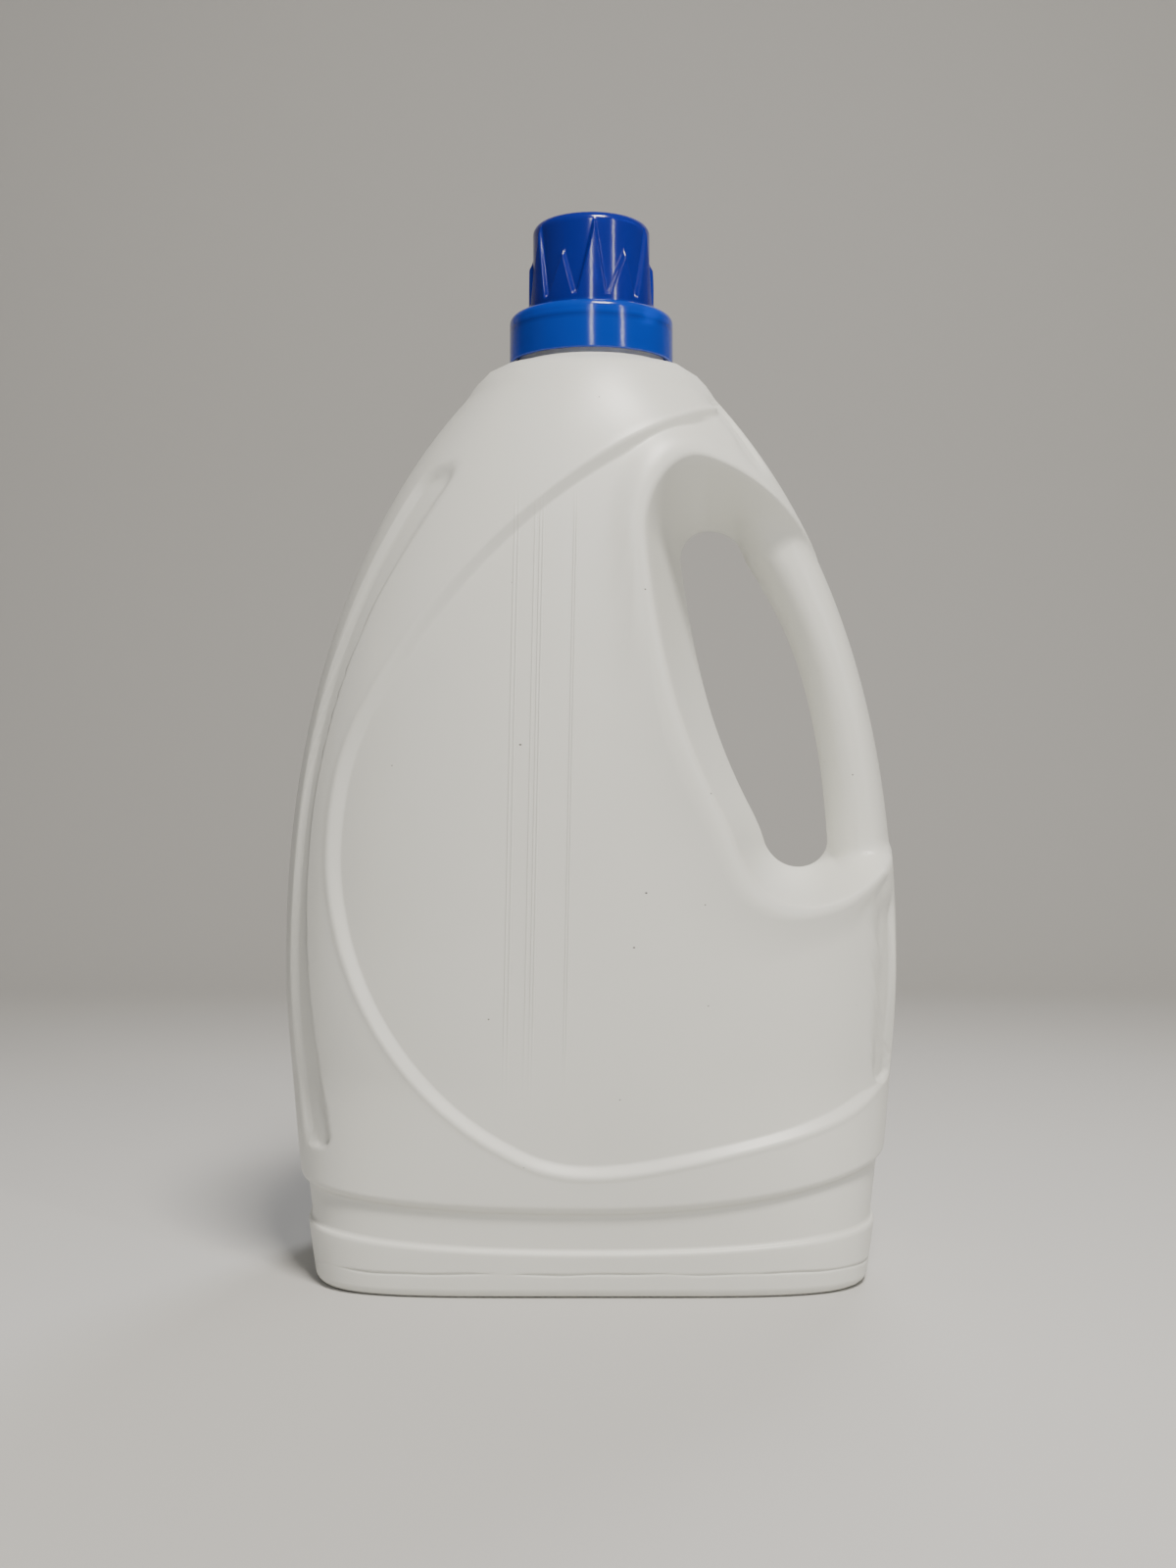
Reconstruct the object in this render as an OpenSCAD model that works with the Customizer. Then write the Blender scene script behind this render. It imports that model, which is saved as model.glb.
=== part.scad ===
// Fabric softener bottle: a blow-moulded jug with a hollow side handle, a pour spout
// pressed into its neck and a dosing cap with a screw skirt.
// Millimetres. +Z up, the handle on +X, the front face towards -Y.
// The origin is on the standing plane, below the middle of the bottle.

/* [Bottle body] */
// Width across the widest place, handle included
body_w = 185; // [170:1:200]
// Depth from front face to back face
body_d = 104; // [92:1:116]
// Height of the widest place above the standing plane
widest_z = 90; // [80:1:100]
// Height of the shoulder where the neck starts
shoulder_z = 272; // [262:1:290]
// How much narrower each side is at the base than at the widest place
base_taper = 10; // [5:0.5:14]
// Thickness of the blown wall
wall = 1.5; // [1:0.1:2]

/* [Neck] */
// Outer diameter of the neck, without its thread
neck_d = 44; // [40:0.5:48]
// Height of the neck above the shoulder
neck_h = 12.2; // [10:0.1:16]
// Thickness of the neck wall
neck_wall = 1.5; // [1.2:0.1:2]
// Width of the round land between the neck and the shoulder
neck_land = 5.5; // [4:0.5:7]

/* [Handle] */
// Height of the top of the finger hole
hole_top_z = 222; // [214:1:228]
// Height of the bottom of the finger hole
hole_bottom_z = 119; // [110:1:128]
// Width of the finger hole at its middle
finger_gap = 31; // [27:0.5:34]
// Width of the finger hole at its upper end
finger_gap_top = 20.5; // [18:0.5:24]
// Width of the finger hole at its lower end
finger_gap_bottom = 18; // [16:0.5:21]
// Width of the grip seen from the front
grip_w = 17.2; // [15:0.2:20]
// Width of the grip at the upper end of the hole
grip_w_top = 21.5; // [19:0.5:25]
// Width of the grip at the lower end of the hole
grip_w_bottom = 18.4; // [16:0.2:21]
// Thickness of the grip from front to back
grip_t = 28; // [24:0.5:32]
// Draft angle of the pocket wall on the bottle side
pocket_draft = 14.5; // [10:0.5:20]
// Draft angle of the pocket wall below the hole
pocket_draft_bottom = 14; // [10:0.5:20]
// Draft angle of the soft pocket wall above the hole
pocket_draft_top = 27; // [20:0.5:40]

/* [Relief] */
// Depth of the label panel below the frame around it
panel_depth = 1.5; // [0.5:0.1:2.5]
// Depth of the long channels beside the side spines
channel_depth = 1.2; // [0.5:0.1:2]
// Height of the top edge of the foot at the front
foot_z = 13; // [11:0.5:15]
// Height of the upper edge of the belt groove at the front
belt_z = 25; // [22:0.5:28]
// How far the foot stands back from the body
foot_inset = 1; // [0.5:0.1:2]
// How far the belt groove stands back from the body
belt_inset = 3.4; // [2.6:0.1:4.4]
// Radius of the heel round the base
heel_r = 3; // [2:0.5:5]
// Rise of the hollow under the base
push_up = 4.5; // [3:0.5:8]
// Width of the flat ring on which the bottle stands
ring_w = 9; // [6:0.5:12]

/* [Dosing cap] */
// Room for the screw thread between the neck and the skirt
thread_gap = 1.5; // [1:0.1:3]
// Gap between the skirt and the bottle's shoulder
skirt_gap = 0.8; // [0.5:0.1:2]
// Wall of the skirt
skirt_wall = 1.5; // [1.2:0.1:2]
// Gap between the cup's rim and the wall of the spout's well
rim_gap = 1.35; // [0.5:0.05:2.5]
// Height of the dosing cup above the skirt
cup_h = 28; // [24:0.5:34]
// Wall of the cup and of the cap's web
cap_wall = 1.6; // [1.2:0.1:2]
// Length of the cup's rim below the web, inside the spout's well
rim_drop = 7; // [4:0.5:8]
// Number of pointed leaves in the relief round the cup
leaf_count = 12; // [8:2:16]
// How far the leaves stand out of the cup
leaf_proud = 1.1; // [0.6:0.1:1.4]
// Distance of the tall leaves' points from the top of the cup
tall_leaf_drop = 3; // [2.6:0.2:6]
// Distance of the short leaves' points from the top of the cup
short_leaf_drop = 12; // [9:0.5:15]

/* [Pour spout] */
// Outer diameter of the pouring tube
tube_d = 23; // [18:0.5:26]
// Wall of the spout
spout_wall = 1.2; // [1:0.1:1.6]
// Height of the tube's lip above the neck on the handle side
tube_low = 8; // [4:0.5:12]
// Height of the tube's lip above the neck on the pouring side
tube_high = 22; // [14:0.5:23]
// Depth of the spout's drain well below the rim of the neck
well_depth = 11; // [9:0.5:14]

/* [Hidden] */
$fn = 96;
bottle_white = "#dcdcd4";
spout_natural = "#e9ece8";
cap_blue = "#10459c";
eps = 0.01;

// Sizes that follow from the ones above
half_w = body_w / 2;
half_d = body_d / 2;
neck_r = neck_d / 2;
neck_top = shoulder_z + neck_h;
bore_r = neck_r - neck_wall;
land_r = neck_r + neck_land;

// The two shoulder curves: the sides slope early, the front stays upright longer
side_power = 2.2;
side_close = 1.52;
front_power = 4.2;
front_close = 2;
taper_power = 1.7;
front_taper = 0.25;
side_rise = (shoulder_z - widest_z) / pow(1 - pow(land_r / half_w, side_close), 1 / side_power);
front_rise = (shoulder_z - widest_z) / pow(1 - pow(land_r / half_d, front_close), 1 / front_power);

// Half width and half depth of the body at height z
function shoulder_curve(z, rise, power, close) = pow(max(0, 1 - pow((z - widest_z) / rise, power)), 1 / close);
function taper(z) = base_taper * pow((widest_z - z) / widest_z, taper_power);
function side(z) = z > widest_z ? half_w * shoulder_curve(z, side_rise, side_power, side_close)
                                : half_w - taper(z);
function front(z) = z > widest_z ? half_d * shoulder_curve(z, front_rise, front_power, front_close)
                                 : half_d - front_taper * taper(z);

// Squareness of the plan at height z: boxy at the base, oval at the middle, round at the neck
base_square = 2.4;
middle_square = 0.6;
box_height = 60;
function square_power(z) = 2 + middle_square * (1 - pow(min(1, z / shoulder_z), 3))
                             + base_square * pow(max(0, 1 - z / box_height), 1.5);

// The finger hole: two edges that follow the outline, closed by a round at each end
hole_round_top = 10;
hole_round_bottom = 8;
hole_lean = 0.15;
middle_lift = 4;
upper_z = hole_top_z - hole_round_top;
lower_z = hole_bottom_z + hole_round_bottom;
middle_z = (upper_z + lower_z) / 2 + middle_lift;
function bow(z, mid, top, bottom) =
    z > middle_z ? mid + (top - mid) * pow((z - middle_z) / (upper_z - middle_z), 2)
                 : mid + (bottom - mid) * pow((middle_z - z) / (middle_z - lower_z), 2);
end_blend = 10;
function soft_step(t) = t < -1 ? 0 : t > 1 ? t : pow(t + 1, 2) / 4;
function straight(z) = min(upper_z, lower_z + end_blend * soft_step((z - lower_z) / end_blend));
function grip_width(z) = bow(straight(z), grip_w, grip_w_top, grip_w_bottom);
function hole_half(z) = bow(straight(z), finger_gap, finger_gap_top, finger_gap_bottom) / 2;
function hole_centre(z) = side(straight(z)) - grip_width(z) - hole_half(z) - hole_lean * max(0, z - upper_z);
function hole_end(z) = z > upper_z ? (z - upper_z) / hole_round_top
                     : z < lower_z ? (lower_z - z) / hole_round_bottom : 0;

// The lesser and the greater of two depths, with a soft change from one to the other
soft_rim = 11;
soft_floor = 4;
function soft_min(a, b, p) = a <= 0 || b <= 0 ? 0 : pow(pow(a, -p) + pow(b, -p), -1 / p);
function soft_max(a, b, p) = a + b <= 0 ? 0 : pow(pow(a, p) + pow(b, p), 1 / p);

// Half depth that the handle pocket leaves at a place outside the hole
edge_round = 6;
grip_square = 2.2;
function pocket_wall(x, z, off) = let(
    half = hole_half(z),
    a = (x - hole_centre(z)) / half,
    b = hole_end(z),
    r = max(eps, norm([a, b])),
    out = max(0, (r - 1) * half - off),
    left = max(0, -a) / r / tan(pocket_draft),
    up = b / r / tan(z > upper_z ? pocket_draft_top : pocket_draft_bottom),
    share = norm([max(0, -a), b]) / r)
    sqrt(pow(norm([left, up]) * out, 2) + 2 * edge_round * share * out);
function grip(x, z, off) = let(
    inner = side(z) - grip_width(z) + off,
    outer = side(z) - off,
    u = abs((2 * x - inner - outer) / (outer - inner)))
    u >= 1 ? 0 : (grip_t / 2 - off) * pow(1 - pow(u, grip_square), 1 / grip_square);
function pocket(x, z, off) = soft_max(grip(x, z, off), pocket_wall(x, z, off), soft_floor);

// Half depth of a skin at a place of the front view
function oval(x, z, inset) = let(n = square_power(z), u = abs(x) / (side(z) - inset))
    u >= 1 ? 0 : (front(z) - inset) * pow(1 - pow(u, n), 1 / n);
function depth(x, z, inset, off) = soft_min(oval(x, z, inset + off), pocket(x, z, off), soft_rim);

// Relief of the skin, measured outwards along its normal
function ramp(t) = let(s = max(0, min(1, t))) s * s * (3 - 2 * s);

// Label panel: an arc above, an arc at the lower side and a slanted lower edge
panel_bulge = 21.5;
panel_side = 16.5;
panel_drop = 26;
panel_lift = 36;
panel_shift = 20;
panel_foot = 7.4;
panel_slant = 0.21;
panel_step = 3;
panel_margin = 14;
pocket_margin = 0.3;
function inside_arc(x, z, centre_x, centre_z, r) = r - norm([x - centre_x, z - centre_z]);
panel_round = 9;
function round_min(a, b, size) = min(a, b) - pow(max(0, size - abs(a - b)), 2) / size / 4;
function inside_panel(x, z) = let(
    above = inside_arc(x, z, half_w + panel_bulge, widest_z - panel_drop, body_w + panel_bulge),
    side_z = widest_z + panel_lift,
    below = inside_arc(x, min(z, side_z), panel_shift, side_z, half_w + panel_shift - panel_side),
    foot = z - belt_z - panel_foot - panel_slant * x)
    round_min(above, round_min(below, foot, panel_round), panel_round);
function panel(x, z) = min(
    ramp(inside_panel(x, z) / panel_step),
    ramp((side(z) - abs(x)) / panel_margin),
    ramp((pocket(x, z, 0) / max(eps, oval(x, z, 0)) - 1 - pocket_margin) / pocket_margin));

// Channels beside the spines: place and half width in shares of the half width at that height
channel_above_hole = 14;
channel_above_belt = 18;
channel_above_widest = 25;
channel_end = 10;
channel_run_out = 5;
channel_top_z = hole_top_z + channel_above_hole;
channel_bottom_z = belt_z + channel_above_belt;
channel_mid_z = widest_z + channel_above_widest;
channel_place = [0.93, 0.15, 0.035];
channel_half = [0.022, 0.055, 0.02];
right_channel_place = 0.95;
right_channel_half = 0.028;
channel_flank = 1.3;
function channel_rise(z) = pow(max(0, (z - channel_mid_z) / (channel_top_z - channel_mid_z)), 3);
function channel_fall(z) = max(0, (channel_mid_z - z) / (channel_mid_z - channel_bottom_z));
function left_place(z) = channel_place * [1, -channel_rise(z), -pow(channel_fall(z), 2)];
function left_half(z) = channel_half * [1, channel_rise(z), channel_fall(z)];
function groove(u, z, low, high) =
    ramp(2 * (channel_flank - abs(u))) * ramp((z - low) / channel_end) * ramp((high - z) / channel_end);
function left_channel(x, z) = groove((-x / side(z) - left_place(z)) / left_half(z), z,
    channel_bottom_z - channel_run_out, channel_top_z + channel_run_out);
function right_channel(x, z) = groove((x / side(z) - right_channel_place) / right_channel_half, z,
    channel_bottom_z + channel_end, hole_bottom_z - channel_run_out);
function relief(x, z) = -panel_depth * panel(x, z)
    - channel_depth * (x < 0 ? left_channel(x, z) : right_channel(x, z));

// Rows of a skin from the middle of the base up to the belt. Each row has its height at the
// front, its rise at the side away from the handle, its rise at the handle, its inset and the
// share of its surface that faces down. The fan above starts from the last row.
foot_rise = 4.6;
belt_rise_left = 4.6;
belt_rise_right = 11.6;
edge = 1.3;
edge_ease = 0.4;
heel_steps = 4;
hollow_r = 13;
hollow_edge = foot_inset + heel_r + ring_w;
hollow_rise = [[1, 1], [0.55, 0.85], [0.2, 0.2], [0, 0]];
rows = [
    for (h = hollow_rise) [push_up * h[1], 0, 0, hollow_edge + hollow_r * h[0], 1],
    for (k = [0:heel_steps]) let(a = 90 * k / heel_steps)
        [heel_r * (1 - cos(a)), 0, 0, foot_inset + heel_r * (1 - sin(a)), cos(a)],
    [foot_z - edge, foot_rise, foot_rise, foot_inset, 0],
    [foot_z, foot_rise, foot_rise, foot_inset + edge_ease, 0],
    [foot_z + edge, foot_rise, foot_rise, belt_inset, 0],
    [belt_z - edge, belt_rise_left, belt_rise_right, belt_inset, 0],
    [belt_z, belt_rise_left, belt_rise_right, belt_inset / 2, 0],
    [belt_z + edge, belt_rise_left, belt_rise_right, belt_inset / 8, 0]];
fan_row = [belt_z + 3 * edge, belt_rise_left, belt_rise_right, 0, 0];
function end_height(row, off, way) = row[0] + off * row[4] + (way < 0 ? row[1] : row[2]);
function end_place(row, off, way) = way * (side(end_height(row, off, way)) - row[3] - off);
function row_height(row, x, off) = let(way = x < 0 ? -1 : 1, u = x / end_place(row, off, way))
    row[0] + off * row[4] + min(1, u * u) * row[way < 0 ? 1 : 2];

// Point of a skin on its front half; a flat point lies on the parting plane
tilt_step = 0.4;
function skin_point(x, z, inset, off, down, flat) = flat ? [x, 0, z]
    : let(d = depth(x, z, inset, off)) down > 0 ? [x, -d, z] : let(
        slope_x = (depth(x + tilt_step, z, inset, off) - depth(x - tilt_step, z, inset, off)) / 2 / tilt_step,
        slope_z = (depth(x, z + tilt_step, inset, off) - depth(x, z - tilt_step, inset, off)) / 2 / tilt_step,
        out = relief(x, z) / norm([slope_x, 1, slope_z]))
        [x - slope_x * out, min(-d / 2, -d - out), z - slope_z * out];

// A fan of spokes covers the body from the finger hole to its outline. Going round from the lower
// end of the hole, the spokes end on the belt, the handle's side, the neck, the far side and the belt.
tip_spokes = 10;
low_spokes = 8;
grip_spokes = 10;
high_spokes = 6;
neck_spokes = 16;
far_spokes = 18;
belt_spokes = 20;
at_corner = tip_spokes;
at_low = at_corner + low_spokes;
at_high = at_low + grip_spokes;
at_neck = at_high + high_spokes;
past_neck = at_neck + neck_spokes;
at_far = past_neck + far_spokes;
spokes = at_far + belt_spokes;
rim_ring = 6;
step_ring = 10;
past_step = 12;
rings = 22;
grip_overlap = 5;
spoke_bend = 0.45;

// Way round the hole in quarter ends and edges: lower right end, right edge, upper end, left edge, lower left end
hole_way = [[0, 0], [at_corner, 0.25], [at_low, 1], [at_high, 2], [at_neck, 2.9], [past_neck, 4], [at_far, 4.75],
            [spokes, 6]];
function hole_round(angle, z, size, off) = let(
    grow = 1 + off / hole_half(z),
    height = z + grow * size * sin(angle))
    [hole_centre(height) + grow * hole_half(height) * cos(angle), height];
function hole_edge(way, z, off) = [hole_centre(z) + way * (hole_half(z) + off), z];
function hole_point(t, off) =
    t < 1 ? hole_round(270 + 90 * t, lower_z, hole_round_bottom, off)
    : t < 2 ? hole_edge(1, lower_z + (upper_z - lower_z) * (t - 1), off)
    : t < 4 ? hole_round(90 * (t - 2), upper_z, hole_round_top, off)
    : t < 5 ? hole_edge(-1, upper_z - (upper_z - lower_z) * (t - 4), off)
    : hole_round(180 + 90 * (t - 5), lower_z, hole_round_bottom, off);
spoke_turn = [[0, -90], [at_corner, -68], [at_low, -10], [at_high, 15], [at_neck, 85], [past_neck, 150],
              [at_far, 208], [spokes, 270]];

// Outer end of a spoke
tip_share = hole_centre(hole_bottom_z) / side(hole_bottom_z);
function belt_place(x, off) = [x, row_height(fan_row, x, off)];
function outline_point(k, off) = let(
    left = end_place(fan_row, off, -1),
    right = end_place(fan_row, off, 1),
    tip = tip_share * right)
    k <= at_corner ? belt_place(tip + (right - tip) * sin(90 * k / tip_spokes), off)
    : k < at_neck ? let(z = lookup(k, [[at_corner, end_height(fan_row, off, 1)], [at_low, lower_z - grip_overlap],
                                       [at_high, upper_z + grip_overlap], [at_neck, shoulder_z]])) [side(z) - off, z]
    : k <= past_neck ? [(land_r - off) * cos(180 * (k - at_neck) / neck_spokes), shoulder_z]
    : k < at_far ? let(
        t = (k - past_neck) / far_spokes,
        z = shoulder_z + (end_height(fan_row, off, -1) - shoulder_z) * (t + 1 - cos(90 * t)) / 2) [off - side(z), z]
    : belt_place(left + (tip - left) * (1 - cos(90 * (k - at_far) / belt_spokes)), off);

// A spoke leaves the hole in its own direction and bends towards its outer end
function spoke(k, off) = let(
    from = hole_point(lookup(k, hole_way), off),
    to = outline_point(k, off),
    turn = lookup(k, spoke_turn))
    [from, from + spoke_bend * norm(to - from) * [cos(turn), sin(turn)], to];
function along(spoke, s) = (1 - s) * (1 - s) * spoke[0] + 2 * s * (1 - s) * spoke[1] + s * s * spoke[2];

// Share of a spoke at which it first comes past a line, found by halving
function crossing(line, past, low, high, turns = 10) = let(s = (low + high) / 2)
    turns == 0 ? s : past(along(line, s)) ? crossing(line, past, low, s, turns - 1)
                                          : crossing(line, past, s, high, turns - 1);

// Marks along a spoke: the hole, the pocket's rim, both edges of the label panel's step, and the outline
last_rim = 0.7;
last_step = [[at_corner, 0.95], [at_low, 0.8], [at_high, 0.8], [at_neck, 0.95]];
least_step = 0.02;
function spoke_marks(k, line, off) = let(
    rim = crossing(line, function(p) pocket(p[0], p[1], off) > oval(p[0], p[1], off), 0, last_rim),
    last = lookup(k, last_step),
    inner = crossing(line, function(p) inside_panel(p[0], p[1]) < panel_step, rim, last),
    outer = crossing(line, function(p) inside_panel(p[0], p[1]) < 0, inner + least_step / 2, last + least_step))
    [0, rim, inner, outer, 1];

// Points along a spoke, closer at its marks
function spread(t) = (1 - cos(180 * t)) / 2;
ring_marks = [0, rim_ring, step_ring, past_step, rings];
function ring_share(r, marks) = let(
    i = r < rim_ring ? 0 : r < step_ring ? 1 : r < past_step ? 2 : 3,
    t = (r - ring_marks[i]) / (ring_marks[i + 1] - ring_marks[i]))
    marks[i] + (marks[i + 1] - marks[i]) * (i == 3 ? sin(90 * t) : spread(t));
function on_outline(k) = (k >= at_corner && k <= at_neck) || (k >= past_neck && k <= at_far);
function spoke_points(k, off, step) = let(line = spoke(k, off), marks = spoke_marks(k, line, off))
    [for (r = [0:step:rings]) let(p = along(line, ring_share(r, marks)))
        skin_point(p[0], p[1], 0, off, 0, r == 0 || (r == rings && on_outline(k)))];

// A row point below the fan keeps its spoke's share of the row
function row_point(row, k, off) = let(
    x = outline_point(k, off)[0],
    way = x < 0 ? -1 : 1,
    place = x / end_place(fan_row, off, way) * end_place(row, off, way))
    skin_point(place, row_height(row, place, off), row[3], off, row[4], k == at_corner || k == at_far);

// A skin is its distance inside the outer skin and the step between its spokes and rings. Its points
// are the fan's, then the rows', for the front half and then mirrored in the parting plane.
function belt_line(step) = [for (k = [at_far:step:spokes - step]) k, for (k = [0:step:at_corner]) k];
function front_points(off, step) = [
    for (k = [0:step:spokes - step]) each spoke_points(k, off, step),
    for (row = rows) for (k = belt_line(step)) row_point(row, k, off)];
function skin_points(off, step) = let(front = front_points(off, step))
    concat(front, [for (p = front) [p[0], -p[1], p[2]]]);
function fan_size(step) = spokes / step * (rings / step + 1);
function line_size(step) = (belt_spokes + tip_spokes) / step + 1;
function half_size(step) = fan_size(step) + len(rows) * line_size(step);
function fan_at(step, half, k, r) = let(
    flat = r == 0 || (r == rings / step && on_outline(k * step)),
    spoke = k % (spokes / step))
    (flat ? 0 : half * half_size(step)) + spoke * (rings / step + 1) + r;
function row_at(step, half, i, j) = let(flat = j == 0 || j == line_size(step) - 1)
    i == len(rows) ? fan_at(step, half, (at_far / step + j) % (spokes / step), rings / step)
    : (flat ? 0 : half * half_size(step)) + fan_size(step) + i * line_size(step) + j;
function two(q, turn) = turn ? [[q[0], q[2], q[1]], [q[0], q[3], q[2]]] : [[q[0], q[1], q[2]], [q[0], q[2], q[3]]];
function skin_faces(step, turn) = [
    for (half = [0, 1]) for (k = [0:spokes / step - 1]) for (r = [0:rings / step - 1])
        each two([fan_at(step, half, k, r), fan_at(step, half, k, r + 1), fan_at(step, half, k + 1, r + 1),
                  fan_at(step, half, k + 1, r)], (half == 1) != turn),
    for (half = [0, 1]) for (i = [0:len(rows) - 1]) for (j = [0:line_size(step) - 2])
        each two([row_at(step, half, i, j), row_at(step, half, i, j + 1), row_at(step, half, i + 1, j + 1),
                  row_at(step, half, i + 1, j)], (half == 1) != turn),
    for (j = [0:line_size(step) - 2])
        each two([row_at(step, 0, 0, j), row_at(step, 1, 0, j), row_at(step, 1, 0, j + 1), row_at(step, 0, 0, j + 1)],
                 turn)];
function neck_ring(step) = [
    for (k = [at_neck / step:past_neck / step]) fan_at(step, 0, k, rings / step),
    for (k = [past_neck / step - 1:-1:at_neck / step + 1]) fan_at(step, 1, k, rings / step)];
function clean(faces) = [for (f = faces) if (f[0] != f[1] && f[1] != f[2] && f[0] != f[2]) f];

// The blown skin: an outer face, an inner face with half its spokes and rings, and the rim between them
module blown_skin() {
    outer = skin_points(0, 1);
    inner = skin_points(wall, 2);
    first = len(outer);
    outer_ring = neck_ring(1);
    inner_ring = [for (i = neck_ring(2)) i + first];
    n = len(outer_ring);
    rim = [for (j = [0:n - 1]) let(a = floor(j / 2), b = floor((j + 1) / 2) % (n / 2), next = (j + 1) % n) each [
        [outer_ring[j], outer_ring[next], inner_ring[a]],
        [outer_ring[next], inner_ring[b], inner_ring[a]]]];
    polyhedron(concat(outer, inner), clean(concat(
        skin_faces(1, true), [for (f = skin_faces(2, false)) [f[0] + first, f[1] + first, f[2] + first]], rim)));
}

// Neck: a round bead let into the top of the skin, and the bore's tube
bead_r = land_r - wall / 2;
bead_h = 0.6;
bead_z = shoulder_z - 1.2 * wall;
module neck() {
    rotate_extrude() polygon([
        [bore_r, bead_z], [bead_r, bead_z], [bead_r, shoulder_z + bead_h / 2],
        [neck_r, shoulder_z + bead_h], [neck_r, neck_top], [bore_r, neck_top]]);
}

module bottle() {
    color(bottle_white) union() {
        blown_skin();
        neck();
    }
}

// Pour spout: a plug with a flange on the neck's rim, a drain well and a slanted pouring tube
spout_clear = 0.05;
flange_t = 1.2;
plug_r = bore_r - spout_clear;
well_z = neck_top - well_depth;
tube_r = tube_d / 2;
drain_w = 5;
module spout_body() {
    rotate_extrude() polygon([
        [tube_r - spout_wall, well_z], [plug_r, well_z], [plug_r, neck_top], [neck_r - 0.3, neck_top],
        [neck_r - 0.3, neck_top + flange_t], [plug_r - spout_wall, neck_top + flange_t],
        [plug_r - spout_wall, well_z + spout_wall], [tube_r, well_z + spout_wall],
        [tube_r, neck_top + tube_high], [tube_r - spout_wall, neck_top + tube_high]]);
}
module above_lip() {
    lip_tilt = atan((tube_high - tube_low) / tube_d);
    translate([-tube_r, 0, neck_top + tube_high]) rotate([0, lip_tilt, 0])
        translate([-tube_d, -tube_d, 0]) cube([4 * tube_d, 2 * tube_d, 2 * tube_high]);
}
module pour_spout() {
    color(spout_natural) difference() {
        spout_body();
        above_lip();
        translate([0, -drain_w / 2, well_z + spout_wall]) cube([tube_d, drain_w, tube_high + well_depth]);
    }
}

// Dosing cap: screw skirt, web and cup in one moulding, with a ring of pointed leaves round the cup
seat_gap = 0.3;
skirt_r = neck_r + thread_gap + skirt_wall;
cup_r = plug_r - spout_wall - rim_gap;
skirt_z = shoulder_z + skirt_gap;
web_z = neck_top + flange_t + seat_gap;
skirt_top = web_z + cap_wall;
cap_top = skirt_top + cup_h;
skirt_round = 2.5;
cup_round = 3;
foot_round = 0.8;
arc_steps = 6;
function arc(r, z, size, from, to) = [for (k = [0:arc_steps]) let(a = from + (to - from) * k / arc_steps)
    [r + size * cos(a), z + size * sin(a)]];
module cap_shell() {
    inner_round = cup_round - cap_wall / 2;
    rotate_extrude() polygon(concat(
        [[skirt_r - skirt_wall, skirt_z], [skirt_r, skirt_z]],
        arc(skirt_r - skirt_round, skirt_top - skirt_round, skirt_round, 0, 90),
        arc(cup_r + foot_round, skirt_top + foot_round, foot_round, 270, 180),
        arc(cup_r - cup_round, cap_top - cup_round, cup_round, 0, 90),
        [[0, cap_top], [0, cap_top - cap_wall]],
        arc(cup_r - cap_wall - inner_round, cap_top - cap_wall - inner_round, inner_round, 90, 0),
        [[cup_r - cap_wall, web_z - rim_drop], [cup_r, web_z - rim_drop], [cup_r, web_z],
         [skirt_r - skirt_wall, web_z]]));
}
leaf_angle = 360 / leaf_count;
leaf_foot = 3.5;
function leaf_tip(k) = cap_top - (k % 2 == 0 ? tall_leaf_drop : short_leaf_drop);
module leaf_gap(k) {
    leaf_r = cup_r + leaf_proud;
    half = leaf_r * sin(leaf_angle / 2) - 0.15;
    rotate(leaf_angle * (k + 0.5) - 90) translate([cup_r * cos(leaf_angle / 2) - 1, 0, 0]) rotate([90, 0, 90])
        linear_extrude(cup_r) polygon([[0, skirt_top + leaf_foot], [half, leaf_tip(k + 1)], [half, cap_top + 1],
                                       [-half, cap_top + 1], [-half, leaf_tip(k)]]);
}
module leaves() {
    difference() {
        rotate_extrude() polygon([
            [cup_r - cap_wall / 2, skirt_top - cap_wall / 2], [cup_r + leaf_proud, skirt_top - cap_wall / 2],
            [cup_r + leaf_proud, cap_top - tall_leaf_drop], [cup_r - cap_wall / 2, cap_top - tall_leaf_drop]]);
        for (k = [0:leaf_count - 1]) leaf_gap(k);
    }
}
module dosing_cap() {
    color(cap_blue) union() {
        cap_shell();
        leaves();
    }
}

bottle();
pour_spout();
dosing_cap();
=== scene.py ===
"""Fabric softener bottle: a blown jug with a side handle, its pour spout and its dosing cap."""

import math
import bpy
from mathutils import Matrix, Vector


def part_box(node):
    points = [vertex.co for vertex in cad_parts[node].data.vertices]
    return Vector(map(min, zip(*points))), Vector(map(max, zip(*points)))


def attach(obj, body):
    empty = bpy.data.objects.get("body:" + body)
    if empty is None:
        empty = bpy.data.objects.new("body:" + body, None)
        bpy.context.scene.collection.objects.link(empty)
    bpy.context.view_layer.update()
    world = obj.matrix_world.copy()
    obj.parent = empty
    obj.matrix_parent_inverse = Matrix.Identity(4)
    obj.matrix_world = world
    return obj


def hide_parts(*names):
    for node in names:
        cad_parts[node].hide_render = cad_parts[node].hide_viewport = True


bl_info = {
    "name": "Fabric Softener Bottle",
    "version": (1, 0, 0),
    "blender": (4, 5, 0),
    "location": "View3D > Sidebar > Bottle",
    "description": "Builds a blown handle bottle, its pour spout, its dosing cap and a studio stage",
    "category": "Object",
}

from collections import namedtuple

import bmesh
import bpy
import numpy as np
from bpy.props import FloatProperty, FloatVectorProperty, IntProperty, PointerProperty
from bpy.types import Operator, Panel, PropertyGroup
from mathutils import Vector

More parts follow.
